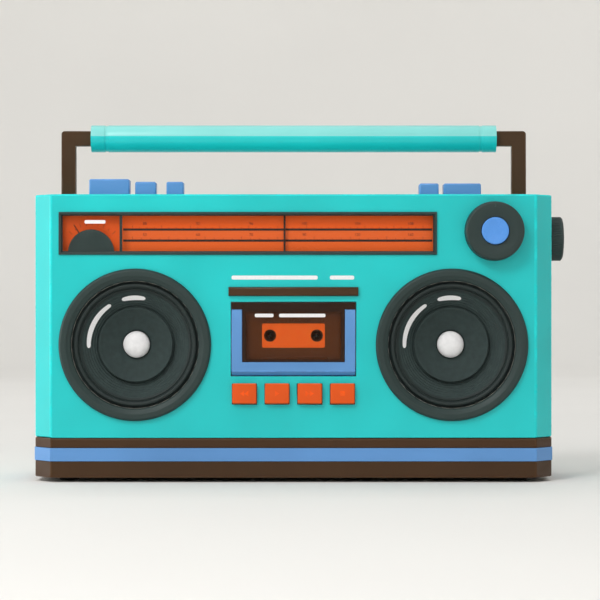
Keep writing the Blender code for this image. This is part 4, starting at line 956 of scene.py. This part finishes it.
def ridged(shape, axis, centre, radius, ridges, depth, low, high):
    """Presses grip ridges into the rim of a turned piece, between two places along its axis."""
    u, v, along = PLANES[axis]
    for vert in shape.verts:
        du, dv = vert.co[u] - centre[0], vert.co[v] - centre[1]
        reach = math.hypot(du, dv)
        if reach < radius - 0.6 * MM or not low <= vert.co[along] <= high:
            continue
        wave = 0.5 + 0.5 * math.cos(math.atan2(dv, du) * ridges)
        scale = 1 - depth * wave**3 / reach
        vert.co[u] = centre[0] + du * scale
        vert.co[v] = centre[1] + dv * scale
    return shape


def fine_line(start, end, steps=8):
    """Points on a straight line after its start, close enough together to take ridges."""
    start, end = Vector(start), Vector(end)
    return [tuple(start.lerp(end, step / steps)) for step in range(1, steps + 1)]


def make_volume_knob():
    low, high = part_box("volume_knob")
    cap_low, cap_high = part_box("volume_cap")
    centre = middle("volume_knob")
    axis = (centre.x, centre.z)
    radius, cap = half_size("volume_knob").x, half_size("volume_cap").x
    front, back, shaft = low.y, FRONT - 1 * MM, 3 * MM
    well, shoulder = cap + SEAM, (radius - 0.6 * MM, front + 1.6 * MM)
    outline = [
        (0, front + 4 * MM),
        (well, front + 4 * MM),
        (well, front + 0.9 * MM),
        (well + 1.2 * MM, front + 0.9 * MM),
        (radius - 6 * MM, front),
        (radius - 2 * MM, front),
        shoulder,
    ]
    outline = rounded(outline, 0.8 * MM) + fine_line(shoulder, (radius, back))
    outline += [(shaft, back), (shaft, high.y), (0, high.y)]
    shape = turned(outline, "Y", axis, 288)
    ridged(shape, "Y", axis, radius, 72, 0.5 * MM, front + 2.2 * MM, back - 0.2 * MM)
    piece("volume_ring", shape, "charcoal_plastic", "volume", ("volume_knob",))
    outline = [
        (0, cap_low.y + 0.8 * MM),
        (cap * 0.45, cap_low.y + 0.5 * MM),
        (cap * 0.8, cap_low.y),
        (cap - 0.5 * MM, cap_low.y),
        (cap, cap_low.y + 1.0 * MM),
        (cap, cap_high.y),
        (0, cap_high.y),
    ]
    shape = turned(rounded(outline, 1.2 * MM), "Y", axis, VERY_SMOOTH)
    piece("volume_cap_disc", shape, "blue_plastic", "volume", ("volume_cap",), "cap_blue")
    outline = rectangle(centre.x, centre.z + radius - 4 * MM, 0.5 * MM, 1.6 * MM)
    span = (front - 0.1 * MM, front + 0.2 * MM)
    mark = slab(rounded(outline, 0.4 * MM, True), "Y", span)
    piece("volume_mark", mark, "charcoal_plastic", "volume", finish="charcoal_edge")


def make_tuning_knob():
    low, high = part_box("tuning_knob")
    centre = middle("tuning_knob")
    axis = (centre.y, centre.z)
    radius = half_size("tuning_knob").z
    near, far = CASE_RIGHT + SEAM, high.x
    shaft, collar, bearing = 3 * MM, 6.3 * MM, low.x + 8.5 * MM
    shoulder = (radius, far - 1.6 * MM)
    outline = [
        (0, far - 0.8 * MM),
        (radius * 0.55, far - 0.8 * MM),
        (radius * 0.62, far),
        (radius - 1.6 * MM, far),
        shoulder,
    ]
    outline = rounded(outline, 0.8 * MM) + fine_line(shoulder, (radius, near))
    outline += [
        (shaft, near),
        (shaft, bearing + 6 * MM),
        (collar, bearing + 6 * MM),
        (collar, bearing),
        (shaft, bearing),
        (shaft, low.x),
        (0, low.x),
    ]
    shape = turned(outline, "X", axis, 240)
    ridged(shape, "X", axis, radius, 60, 0.5 * MM, near + 0.4 * MM, far - 2.2 * MM)
    piece("tuning_wheel", shape, "charcoal_plastic", "tuning", ("tuning_knob",))


# --- Loudspeakers ------------------------------------------------------------------------------


CONE_ROOT = 18.2 * MM  # radius where the cone meets the inner cone
ROLL_WIDTH = 7.8 * MM  # mouth of the trim ring to the edge of the paper


def cone_line(radius, mouth):
    """Depth of the main cone behind the front face, at a radius. It is a shallow curve."""
    edge = mouth - ROLL_WIDTH
    t = (edge - radius) / (edge - CONE_ROOT)
    return FRONT + 4.5 * MM + 19 * MM * (t**0.92)


def make_speakers():
    for side in SIDES:
        ring = f"speaker_ring_{side}"
        centre = middle(ring)
        axis = (centre.x, centre.z)
        radius = half_size(ring).x
        mouth = radius - 11.2 * MM
        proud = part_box(ring)[0].y
        spigot = radius - 8.3 * MM
        wall = FRONT + 3 * MM
        outline = [
            (radius, FRONT - SEAM),
            (radius, FRONT - 2.2 * MM),
            (radius - 1.8 * MM, proud),
            (radius - 6.5 * MM, proud),
            (radius - 8.0 * MM, proud + 1.1 * MM),
            (mouth + 1.0 * MM, proud + 2.2 * MM),
            (mouth, FRONT - 1 * MM),
            (mouth, wall),
            (spigot, wall),
            (spigot, FRONT - SEAM),
        ]
        shape = turned(rounded(outline, 0.9 * MM, closed=True), "Y", axis, VERY_SMOOTH, True)
        piece(f"speaker_trim_{side}", shape, "charcoal_plastic", "case", (ring,))
        make_cone(side, axis, mouth)


def make_cone(side, axis, mouth):
    body = f"cone_{side}"
    make_paper(side, axis, mouth, body)
    make_surround(side, axis, mouth, body)
    make_dust_cap(side, axis, body)
    make_cone_painted_highlights(side, axis, mouth, body)


def make_paper(side, axis, mouth, body):
    """Paper cone with pressed ribs, an inner cone with a rolled lip, and the coil's former."""
    edge = mouth - ROLL_WIDTH
    lip, coil = edge - 16.8 * MM, 13.2 * MM
    thin, rib_height, rib_pitch = 0.9 * MM, 0.22 * MM, 2.1 * MM
    front_line, back_line, flare, inner = [], [], [], []
    for index in range(91):
        radius = edge + (CONE_ROOT - edge) * index / 90
        rib = rib_height * math.sin((edge - radius) / rib_pitch * math.tau)
        fade = min(1, (edge - radius) / (4 * MM)) * min(1, (radius - 20 * MM) / (3 * MM))
        depth = cone_line(radius, mouth) + rib * max(0, fade)
        front_line.append((radius, depth))
        back_line.append((radius, depth + thin))
    root = cone_line(CONE_ROOT, mouth)
    rise = 13.5 * MM
    for t in (index / 12 for index in range(1, 13)):
        flare.append((CONE_ROOT + (lip - CONE_ROOT) * t, root - rise * t**1.15))
    top = root - rise
    roll_over = [
        (lip + 0.5 * MM, top - 0.6 * MM),
        (lip + 0.2 * MM, top - 1.1 * MM),
        (lip - 0.6 * MM, top - 0.9 * MM),
    ]
    for t in (index / 12 for index in range(1, 13)):
        radius = lip - 1 * MM + (coil - lip + 1 * MM) * t
        inner.append((radius, top - 0.3 * MM + (FRONT + 21 * MM - top) * t**0.88))
    former = [
        (coil - 0.8 * MM, FRONT + 22.5 * MM),
        (coil - 0.8 * MM, FRONT + 40 * MM),
        (coil, FRONT + 40 * MM),
        (coil, FRONT + 26.8 * MM),
    ]
    outline = front_line + flare + roll_over + inner + former + back_line[::-1]
    shape = turned(outline, "Y", axis, VERY_SMOOTH, closed=True)
    piece(f"cone_paper_{side}", shape, "speaker_paper", body, (f"speaker_cone_{side}",), sharp=50)


def make_surround(side, axis, mouth, body):
    """The rubber half roll between the paper and the trim ring."""
    edge, reach = mouth - ROLL_WIDTH, mouth - 0.15 * MM
    inside, thickness = edge - 1.5 * MM, 0.6 * MM
    centre, half = (edge + reach) / 2, (reach - edge - 2.4 * MM) / 2
    base, height = FRONT + 4.3 * MM, 3.5 * MM
    crown = []
    for angle in (math.pi * index / 12 for index in range(13)):
        crown.append((centre - half * math.cos(angle), base - height * math.sin(angle)))
    outline = [(inside, cone_line(inside, mouth) - 0.5 * MM), (edge, FRONT + 4.0 * MM)]
    outline += crown + [(reach, base), (reach, base + thickness)]
    outline += [(radius, depth + thickness) for radius, depth in reversed(crown)]
    outline.append((inside, cone_line(inside, mouth) + 0.1 * MM))
    shape = turned(outline, "Y", axis, VERY_SMOOTH, closed=True)
    piece(f"surround_{side}", shape, "speaker_paper", body, finish="surround", sharp=50)


def make_dust_cap(side, axis, body):
    cap = f"dust_cap_{side}"
    low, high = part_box(cap)
    radius, height = half_size(cap).x, 7 * MM
    outline = []
    for angle in (math.pi / 2 * index / 16 for index in range(17)):
        outline.append((radius * math.sin(angle), low.y + height * (1 - math.cos(angle))))
    outline += [(radius, high.y), (0, high.y)]
    shape = turned(outline, "Y", axis, SMOOTH)
    piece(f"dust_dome_{side}", shape, "white_paper", body, (cap,))


def make_cone_painted_highlights(side, axis, mouth, body):
    """Two curved white strokes on the paper, up and to the left of the middle: painted highlights,
    standing in for the light's reflection on the cone.
    """
    line, half, rise, thickness = 42.6 * MM, 2.1 * MM, 0.35 * MM, 0.25 * MM
    strokes = []
    for start, end in ((184, 122), (107, 78)):
        begin, sweep = math.radians(start), math.radians(start - end)
        shape = bmesh.new()
        corners = []
        for side_of_line, lift in ((-1, 0), (1, 0), (1, thickness), (-1, thickness)):
            radius = line + side_of_line * half
            depth = cone_line(radius, mouth) - rise + lift
            place = (axis[0] + radius * math.cos(begin), depth, axis[1] + radius * math.sin(begin))
            corners.append(shape.verts.new(place))
        face = shape.faces.new(corners)
        bmesh.ops.spin(
            shape,
            geom=[face],
            cent=(axis[0], 0, axis[1]),
            axis=(0, 1, 0),
            angle=sweep,
            steps=64,
        )
        bmesh.ops.recalc_face_normals(shape, faces=shape.faces)
        for vert in shape.verts:
            across, up = vert.co.x - axis[0], vert.co.z - axis[1]
            radius, angle = math.hypot(across, up), math.atan2(up, across) % math.tau
            share = (begin - angle) / sweep
            from_end = min(1, min(share, 1 - share) * sweep * line / half)
            taper = 0.72 + 0.28 * math.sin(math.pi * share)
            width = taper * max(0.2, 1 - (1 - from_end) ** 2) ** 0.5
            moved = line + (radius - line) * width
            lift = vert.co.y - cone_line(radius, mouth)
            vert.co.x = axis[0] + moved * math.cos(angle)
            vert.co.z = axis[1] + moved * math.sin(angle)
            vert.co.y = cone_line(moved, mouth) + lift
        strokes.append(shape)
    piece(f"cone_painted_highlights_{side}", gathered(*strokes), "white_paper", body, finish="painted_highlight_ink")


# --- Cassette deck and buttons -----------------------------------------------------------------


def make_deck():
    softened("cassette_door", 0.8 * MM, 0.4 * MM, edge_finish="blue_edge")
    softened("door_window", 0.4 * MM, 0.2 * MM, finish="smoked_window")
    softened("deck_hood", 0.8 * MM, 0.5 * MM, edge_finish="brown_edge")
    low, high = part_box("door_window")
    x = (low.x + high.x) / 2
    # Two white strokes on the window: painted highlights.
    height = high.z - 11.6 * MM
    spans = ((-35 * MM, -18 * MM), (-13 * MM, 29 * MM))
    strokes = [(x + a, x + b, height, 3.2 * MM, low.y) for a, b in spans]
    make_painted_highlights("window_painted_highlights", "door", strokes)
    make_cassette()
    make_spindles()
    make_deck_plate()


def make_spindles():
    """Three-winged drive spindles with a collar, on a toothed wheel behind the plate."""
    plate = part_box("deck_chassis")[0].y
    for name in ("supply", "takeup"):
        node = f"{name}_spindle"
        low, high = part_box(node)
        centre = middle(node)
        axis = (centre.x, centre.z)
        wheel, collar, pin, shaft = half_size(node).x, 6 * MM, 1.7 * MM, 1.8 * MM
        teeth = high.y - 3 * MM
        outline = [
            (0, low.y),
            (0.8 * MM, low.y),
            (pin, low.y + 2.4 * MM),
            (pin, plate - 1.9 * MM),
            (collar, plate - 1.9 * MM),
            (collar, plate - 0.4 * MM),
            (shaft, plate - 0.4 * MM),
            (shaft, teeth),
            (wheel, teeth),
            (wheel, high.y),
            (0, high.y),
        ]
        post = turned(rounded(outline, 0.4 * MM), "Y", axis, 144)
        ridged(post, "Y", axis, wheel, 36, 0.8 * MM, teeth, high.y)
        start = (-0.55 * MM, low.y + 1.6 * MM, 0)
        end = (0.55 * MM, plate - 1.5 * MM, wheel * 0.3)
        wings = spokes(3, centre, start, end, 0.25 * MM)
        piece(f"{node}_post", gathered(post, *wings), "charcoal_plastic", name, (node,))


def make_deck_plate():
    """Pressed ribs and screws on the steel plate behind the cassette."""
    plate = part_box("deck_chassis")[0].y
    hub = middle("supply_spindle").z
    ribs = []
    for x, z, half_width, half_height in (
        (0, 20 * MM, 36 * MM, 2.2 * MM),
        (0, 12.5 * MM, 12 * MM, 1.6 * MM),
        (0, -1 * MM, 8 * MM, 8 * MM),
        (-36 * MM, 0, 2.2 * MM, 9 * MM),
        (36 * MM, 0, 2.2 * MM, 9 * MM),
    ):
        outline = rectangle(CASE_MIDDLE + x, hub + z, half_width, half_height)
        soft = rounded(outline, 2 * MM, closed=True)
        ribs.append(slab(soft, "Y", (plate - 0.7 * MM, plate + 0.2 * MM), 0.5 * MM))
    piece("deck_ribs", gathered(*ribs), "steel", "case")
    corners = [(CASE_MIDDLE + x * MM, plate, hub + z * MM) for z in (17, -16) for x in (-48, 48)]
    make_screws("deck_screw", [(corner, "Y", -0.7) for corner in corners], 2.4 * MM)


def disc(centre, radius, span, steps=48):
    outline = [(0, span[0]), (radius, span[0]), (radius, span[1]), (0, span[1])]
    return turned(outline, "Y", centre, steps)


def make_cassette():
    softened("cassette_shell", 0.9 * MM, 0.4 * MM)
    hubs = [middle(f"cassette_hub_{side}") for side in SIDES]
    height = hubs[0].z
    front = hubs[0].y - 4.35 * MM
    outline = rounded(rectangle(CASE_MIDDLE, height, 28.5 * MM, 11 * MM), 1.6 * MM, closed=True)
    label = slab(outline, "Y", (front - 0.22 * MM, front - 0.02 * MM), 0.05 * MM, 1)
    label = piece("cassette_label", label, "orange_plastic", "door", finish="label_paper")
    span = (front - 2 * MM, front + 2 * MM)
    cut_out(label, [disc((hub.x, height), 5.6 * MM, span) for hub in hubs])
    for side in SIDES:
        make_hub(side)
    heads = []
    for z in (27 * MM, -4 * MM):
        for x in (-46 * MM, 46 * MM):
            place = (CASE_MIDDLE + x, front - 0.02 * MM, height + z)
            heads.append(screw(place, "Y", -0.35, 1.7 * MM)[0])
    piece("cassette_screws", gathered(*heads), "steel", "door")


def make_hub(side):
    """The toothed ring that the spindle drives."""
    node = f"cassette_hub_{side}"
    low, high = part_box(node)
    centre = middle(node)
    outer, bore = 5.15 * MM, 4.3 * MM
    outline = [(bore, low.y), (outer, low.y), (outer, high.y), (bore, high.y)]
    outline = rounded(outline, 0.25 * MM, closed=True)
    ring = turned(outline, "Y", (centre.x, centre.z), 64, closed=True)
    start = (-0.5 * MM, low.y + 0.6 * MM, 3.25 * MM)
    end = (0.5 * MM, low.y + 3.4 * MM, 4.5 * MM)
    teeth = spokes(6, centre, start, end, 0.15 * MM, 2)
    shape = gathered(ring, *teeth)
    piece(f"hub_ring_{side}", shape, SLOTS[node], f"hub_{side}", (node,), "brown_plastic")


def spokes(count, centre, low, high, edge, segments=3):
    """Equal blocks round a line along Y. low and high are the upright one's corners."""
    shapes = []
    for index in range(count):
        turn = Matrix.Rotation(math.tau * index / count, 4, "Y")
        shape = block(low, high, edge, segments)
        place = Matrix.Translation((centre.x, 0, centre.z)) @ turn
        bmesh.ops.transform(shape, matrix=place, verts=shape.verts)
        shapes.append(shape)
    return shapes


def key_symbol(name, x, z, surface):
    """Raised tape symbols: triangles point the way the tape runs, and a square stops it."""
    size = 2.6 * MM
    depth = (surface - 0.25 * MM, surface + 0.1 * MM)

    def triangle(start, direction):
        tip = start + direction * size * 1.5
        corners = [(start, z - size), (tip, z), (start, z + size)]
        return slab(corners if direction > 0 else list(reversed(corners)), "Y", depth)

    if name == "play":
        return [triangle(x - size * 0.7, 1)]
    if name == "forward":
        return [triangle(x - size * 1.5, 1), triangle(x, 1)]
    if name == "rewind":
        return [triangle(x + size * 1.5, -1), triangle(x, -1)]
    return [slab(rectangle(x, z, size * 0.85, size * 0.85), "Y", depth)]


def make_keys():
    for name in KEYS:
        node = f"key_{name}"
        low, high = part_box(node)
        centre = middle(node)
        x = centre.x
        half_width, half_height = half_size(node).x - 2 * MM, 9.1 * MM
        z = high.z + 0.6 * MM - half_height
        face = low.y
        back = FRONT + 3.5 * MM
        outline = rounded(rectangle(x, z, half_width, half_height), 1.6 * MM, closed=True, steps=6)
        cap = slab(outline, "Y", (face, back), 0.9 * MM, 4)
        start, end = (low.x, FRONT + 3.3 * MM, low.z), (high.x, FRONT + 4.8 * MM, high.z)
        flange = block(start, end, 0.2 * MM, 1)
        start = (x - 1.5 * MM, FRONT + 4 * MM, low.z + 3 * MM)
        stem = block(start, (x + 1.5 * MM, high.y, low.z + 8 * MM), 0.2 * MM, 1)
        piece(f"{node}_cap", gathered(cap, flange, stem), "orange_plastic", node, (node,))
        symbol = key_symbol(name, x, z, face)
        piece(f"{node}_symbol", gathered(*symbol), "orange_plastic", node, finish="orange_edge")
    for name in TOP_KEYS:
        node = f"top_key_{name}"
        softened(node, 0.5 * MM, 0.4 * MM, edge_finish="blue_edge", shortest=2 * MM)


# --- Power -------------------------------------------------------------------------------------


def make_power():
    softened("battery_door", 0.6 * MM, 0.3 * MM, edge_finish="turquoise_edge")
    half, thin, below_top, pitch = 14 * MM, 0.5 * MM, 14 * MM, 2.2 * MM
    ribs = []
    for index in range(7):
        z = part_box("battery_door")[1].z - below_top - index * pitch
        start = (CASE_MIDDLE - half, BACK - 0.2 * MM, z - thin)
        ribs.append(block(start, (CASE_MIDDLE + half, BACK + 0.5 * MM, z + thin), 0.25 * MM, 2))
    piece("battery_door_ribs", gathered(*ribs), "turquoise_plastic", "battery_lid")
    softened("mains_inlet", 0.5 * MM, 0.3 * MM, edge_finish="charcoal_edge")
    centre = middle("mains_inlet")
    pins = []
    for side in (-1, 1):
        axis = (centre.x + side * 4 * MM, centre.z)
        outline = [
            (0, BACK - 14 * MM),
            (1.1 * MM, BACK - 14 * MM),
            (1.1 * MM, BACK - 5 * MM),
            (0.7 * MM, BACK - 4 * MM),
            (0, BACK - 4 * MM),
        ]
        pins.append(turned(outline, "Y", axis, 24))
    piece("inlet_pins", gathered(*pins), "steel", "case")
    make_battery_contacts()


def coil(start, centre, turns, pitch, radius, wire):
    """A wire spring wound about a line along X."""
    shape = bmesh.new()
    bmesh.ops.create_circle(shape, cap_ends=True, radius=wire, segments=10)
    place = Matrix.Translation((start, centre[0], centre[1] + radius))
    upright = Matrix.Rotation(math.pi / 2, 4, "X")
    bmesh.ops.transform(shape, matrix=place @ upright, verts=shape.verts)
    steps = 24 * turns
    bmesh.ops.spin(
        shape,
        geom=shape.faces[:],
        cent=(0, *centre),
        axis=(1, 0, 0),
        dvec=(pitch * turns / steps, 0, 0),
        angle=math.tau * turns,
        steps=steps,
    )
    return tidied(shape)


def make_battery_contacts():
    """Springs at the left end of each row of cells, and flat tabs at the right end."""
    bay = next(o for o in frame["record"]["physics"]["openings"] if o["name"] == "battery_bay")
    low, high = (Vector(corner) for corner in bay["box_m"])
    wall = 1 * MM  # the opening stops this short of the bay's walls
    tab, sheet = 9 * MM, 0.5 * MM
    y = (low.y + high.y) / 2
    contacts = []
    for share in (0.25, 0.75):
        z = low.z + (high.z - low.z) * share
        for face, inward in ((low.x - wall, 1), (high.x + wall, -1)):
            ends = sorted((face, face + inward * sheet))
            outline = rounded(rectangle(y, z, tab, tab), 2 * MM, closed=True)
            contacts.append(slab(outline, "X", ends, 0.15 * MM, 1))
        start, wire = low.x - wall + sheet, 0.5 * MM
        contacts.append(coil(start + wire, (y, z), 4, 2.2 * MM, 6 * MM, wire))
    piece("battery_contacts", gathered(*contacts), "steel", "case")


# --- Studio ------------------------------------------------------------------------------------


def make_studio():
    """A pale round studio, a large soft light from the upper left, and a little fill."""
    floor, wall, height, bend = 3.2, 4.4, 4.0, 1.2
    line = [(0, 0), (floor, 0)]
    for step in range(1, 17):
        angle = math.pi / 2 * step / 16
        line.append((floor + bend * math.sin(angle), bend - bend * math.cos(angle)))
    line.append((wall, height))
    shape = turned(line, "Z", (0, 0), 128)
    bmesh.ops.reverse_faces(shape, faces=shape.faces)
    mesh = bpy.data.meshes.new("studio_floor")
    shape.to_mesh(mesh)
    shape.free()
    mesh.shade_smooth()
    studio = placed("studio_floor", mesh)
    paper = Finish("studio_paper", colour("e6e4e0"), 0.9)
    tint = paper.noise(0.6, 2)
    paper.set("Base Color", paper.mix(tint, colour("e2e0dc"), colour("eae8e4")))
    mesh.materials.append(paper.material)

    world = bpy.data.worlds.new("studio_air")
    world.use_nodes = True
    air = world.node_tree.nodes["Background"]
    air.inputs["Color"].default_value = (0.90, 0.95, 1.0, 1)
    air.inputs["Strength"].default_value = 0.22
    bpy.context.scene.world = world
    bpy.context.scene.view_settings.view_transform = "Standard"

    middle_of_player = (0, 0, 0.16)
    for name, place, aim, size, power in (
        ("key_light", (-1.0, -1.6, 1.8), middle_of_player, 0.9, 27),
        ("side_light", (-1.8, -0.1, 0.3), middle_of_player, 1.0, 13),
        ("fill_light", (0.4, -2.6, 1.5), middle_of_player, 1.4, 8),
        ("top_light", (0, 0.3, 3.2), middle_of_player, 3.0, 20),
        ("wall_light_back", (0, 1.6, 3.0), (0, wall, 0.9), 1.6, 40),
        ("wall_light_front", (0, -1.6, 3.0), (0, -wall, 0.9), 1.6, 30),
        ("wall_light_left", (-1.6, 0, 3.0), (-wall, 0, 0.9), 1.6, 30),
        ("wall_light_right", (1.6, 0, 3.0), (wall, 0, 0.9), 1.6, 30),
    ):
        data = bpy.data.lights.new(name, "AREA")
        data.shape = "SQUARE"
        data.size = size
        data.energy = power
        lamp = placed(name, data)
        lamp.location = place
        lamp.rotation_euler = (Vector(aim) - Vector(place)).to_track_quat("-Z", "Y").to_euler()


def make_camera():
    """Straight from the front, level with the middle of the player."""
    low, high = (Vector(corner) for corner in cad_box)
    data = bpy.data.cameras.new("camera")
    data.lens = 135
    data.sensor_width = 36
    camera = placed("camera", data)
    width = (high.x - low.x) / 0.90
    distance = width / 2 / math.tan(math.atan(data.sensor_width / 2 / data.lens))
    camera.location = ((low.x + high.x) / 2, low.y - distance, (low.z + high.z) / 2)
    camera.rotation_euler = (math.pi / 2, 0, 0)
    bpy.context.scene.camera = camera


make_camera()
make_case_finishes()
make_metal_finishes()
make_speaker_finishes()
make_clear_finishes()
make_dial_finish()
make_board_finish()
dress_frame()
make_case()
make_handle()
make_aerial_tubes()
make_aerial_pivot()
make_aerial_clip()
make_dial()
make_volume_knob()
make_tuning_knob()
make_speakers()
make_deck()
make_keys()
make_power()
make_studio()
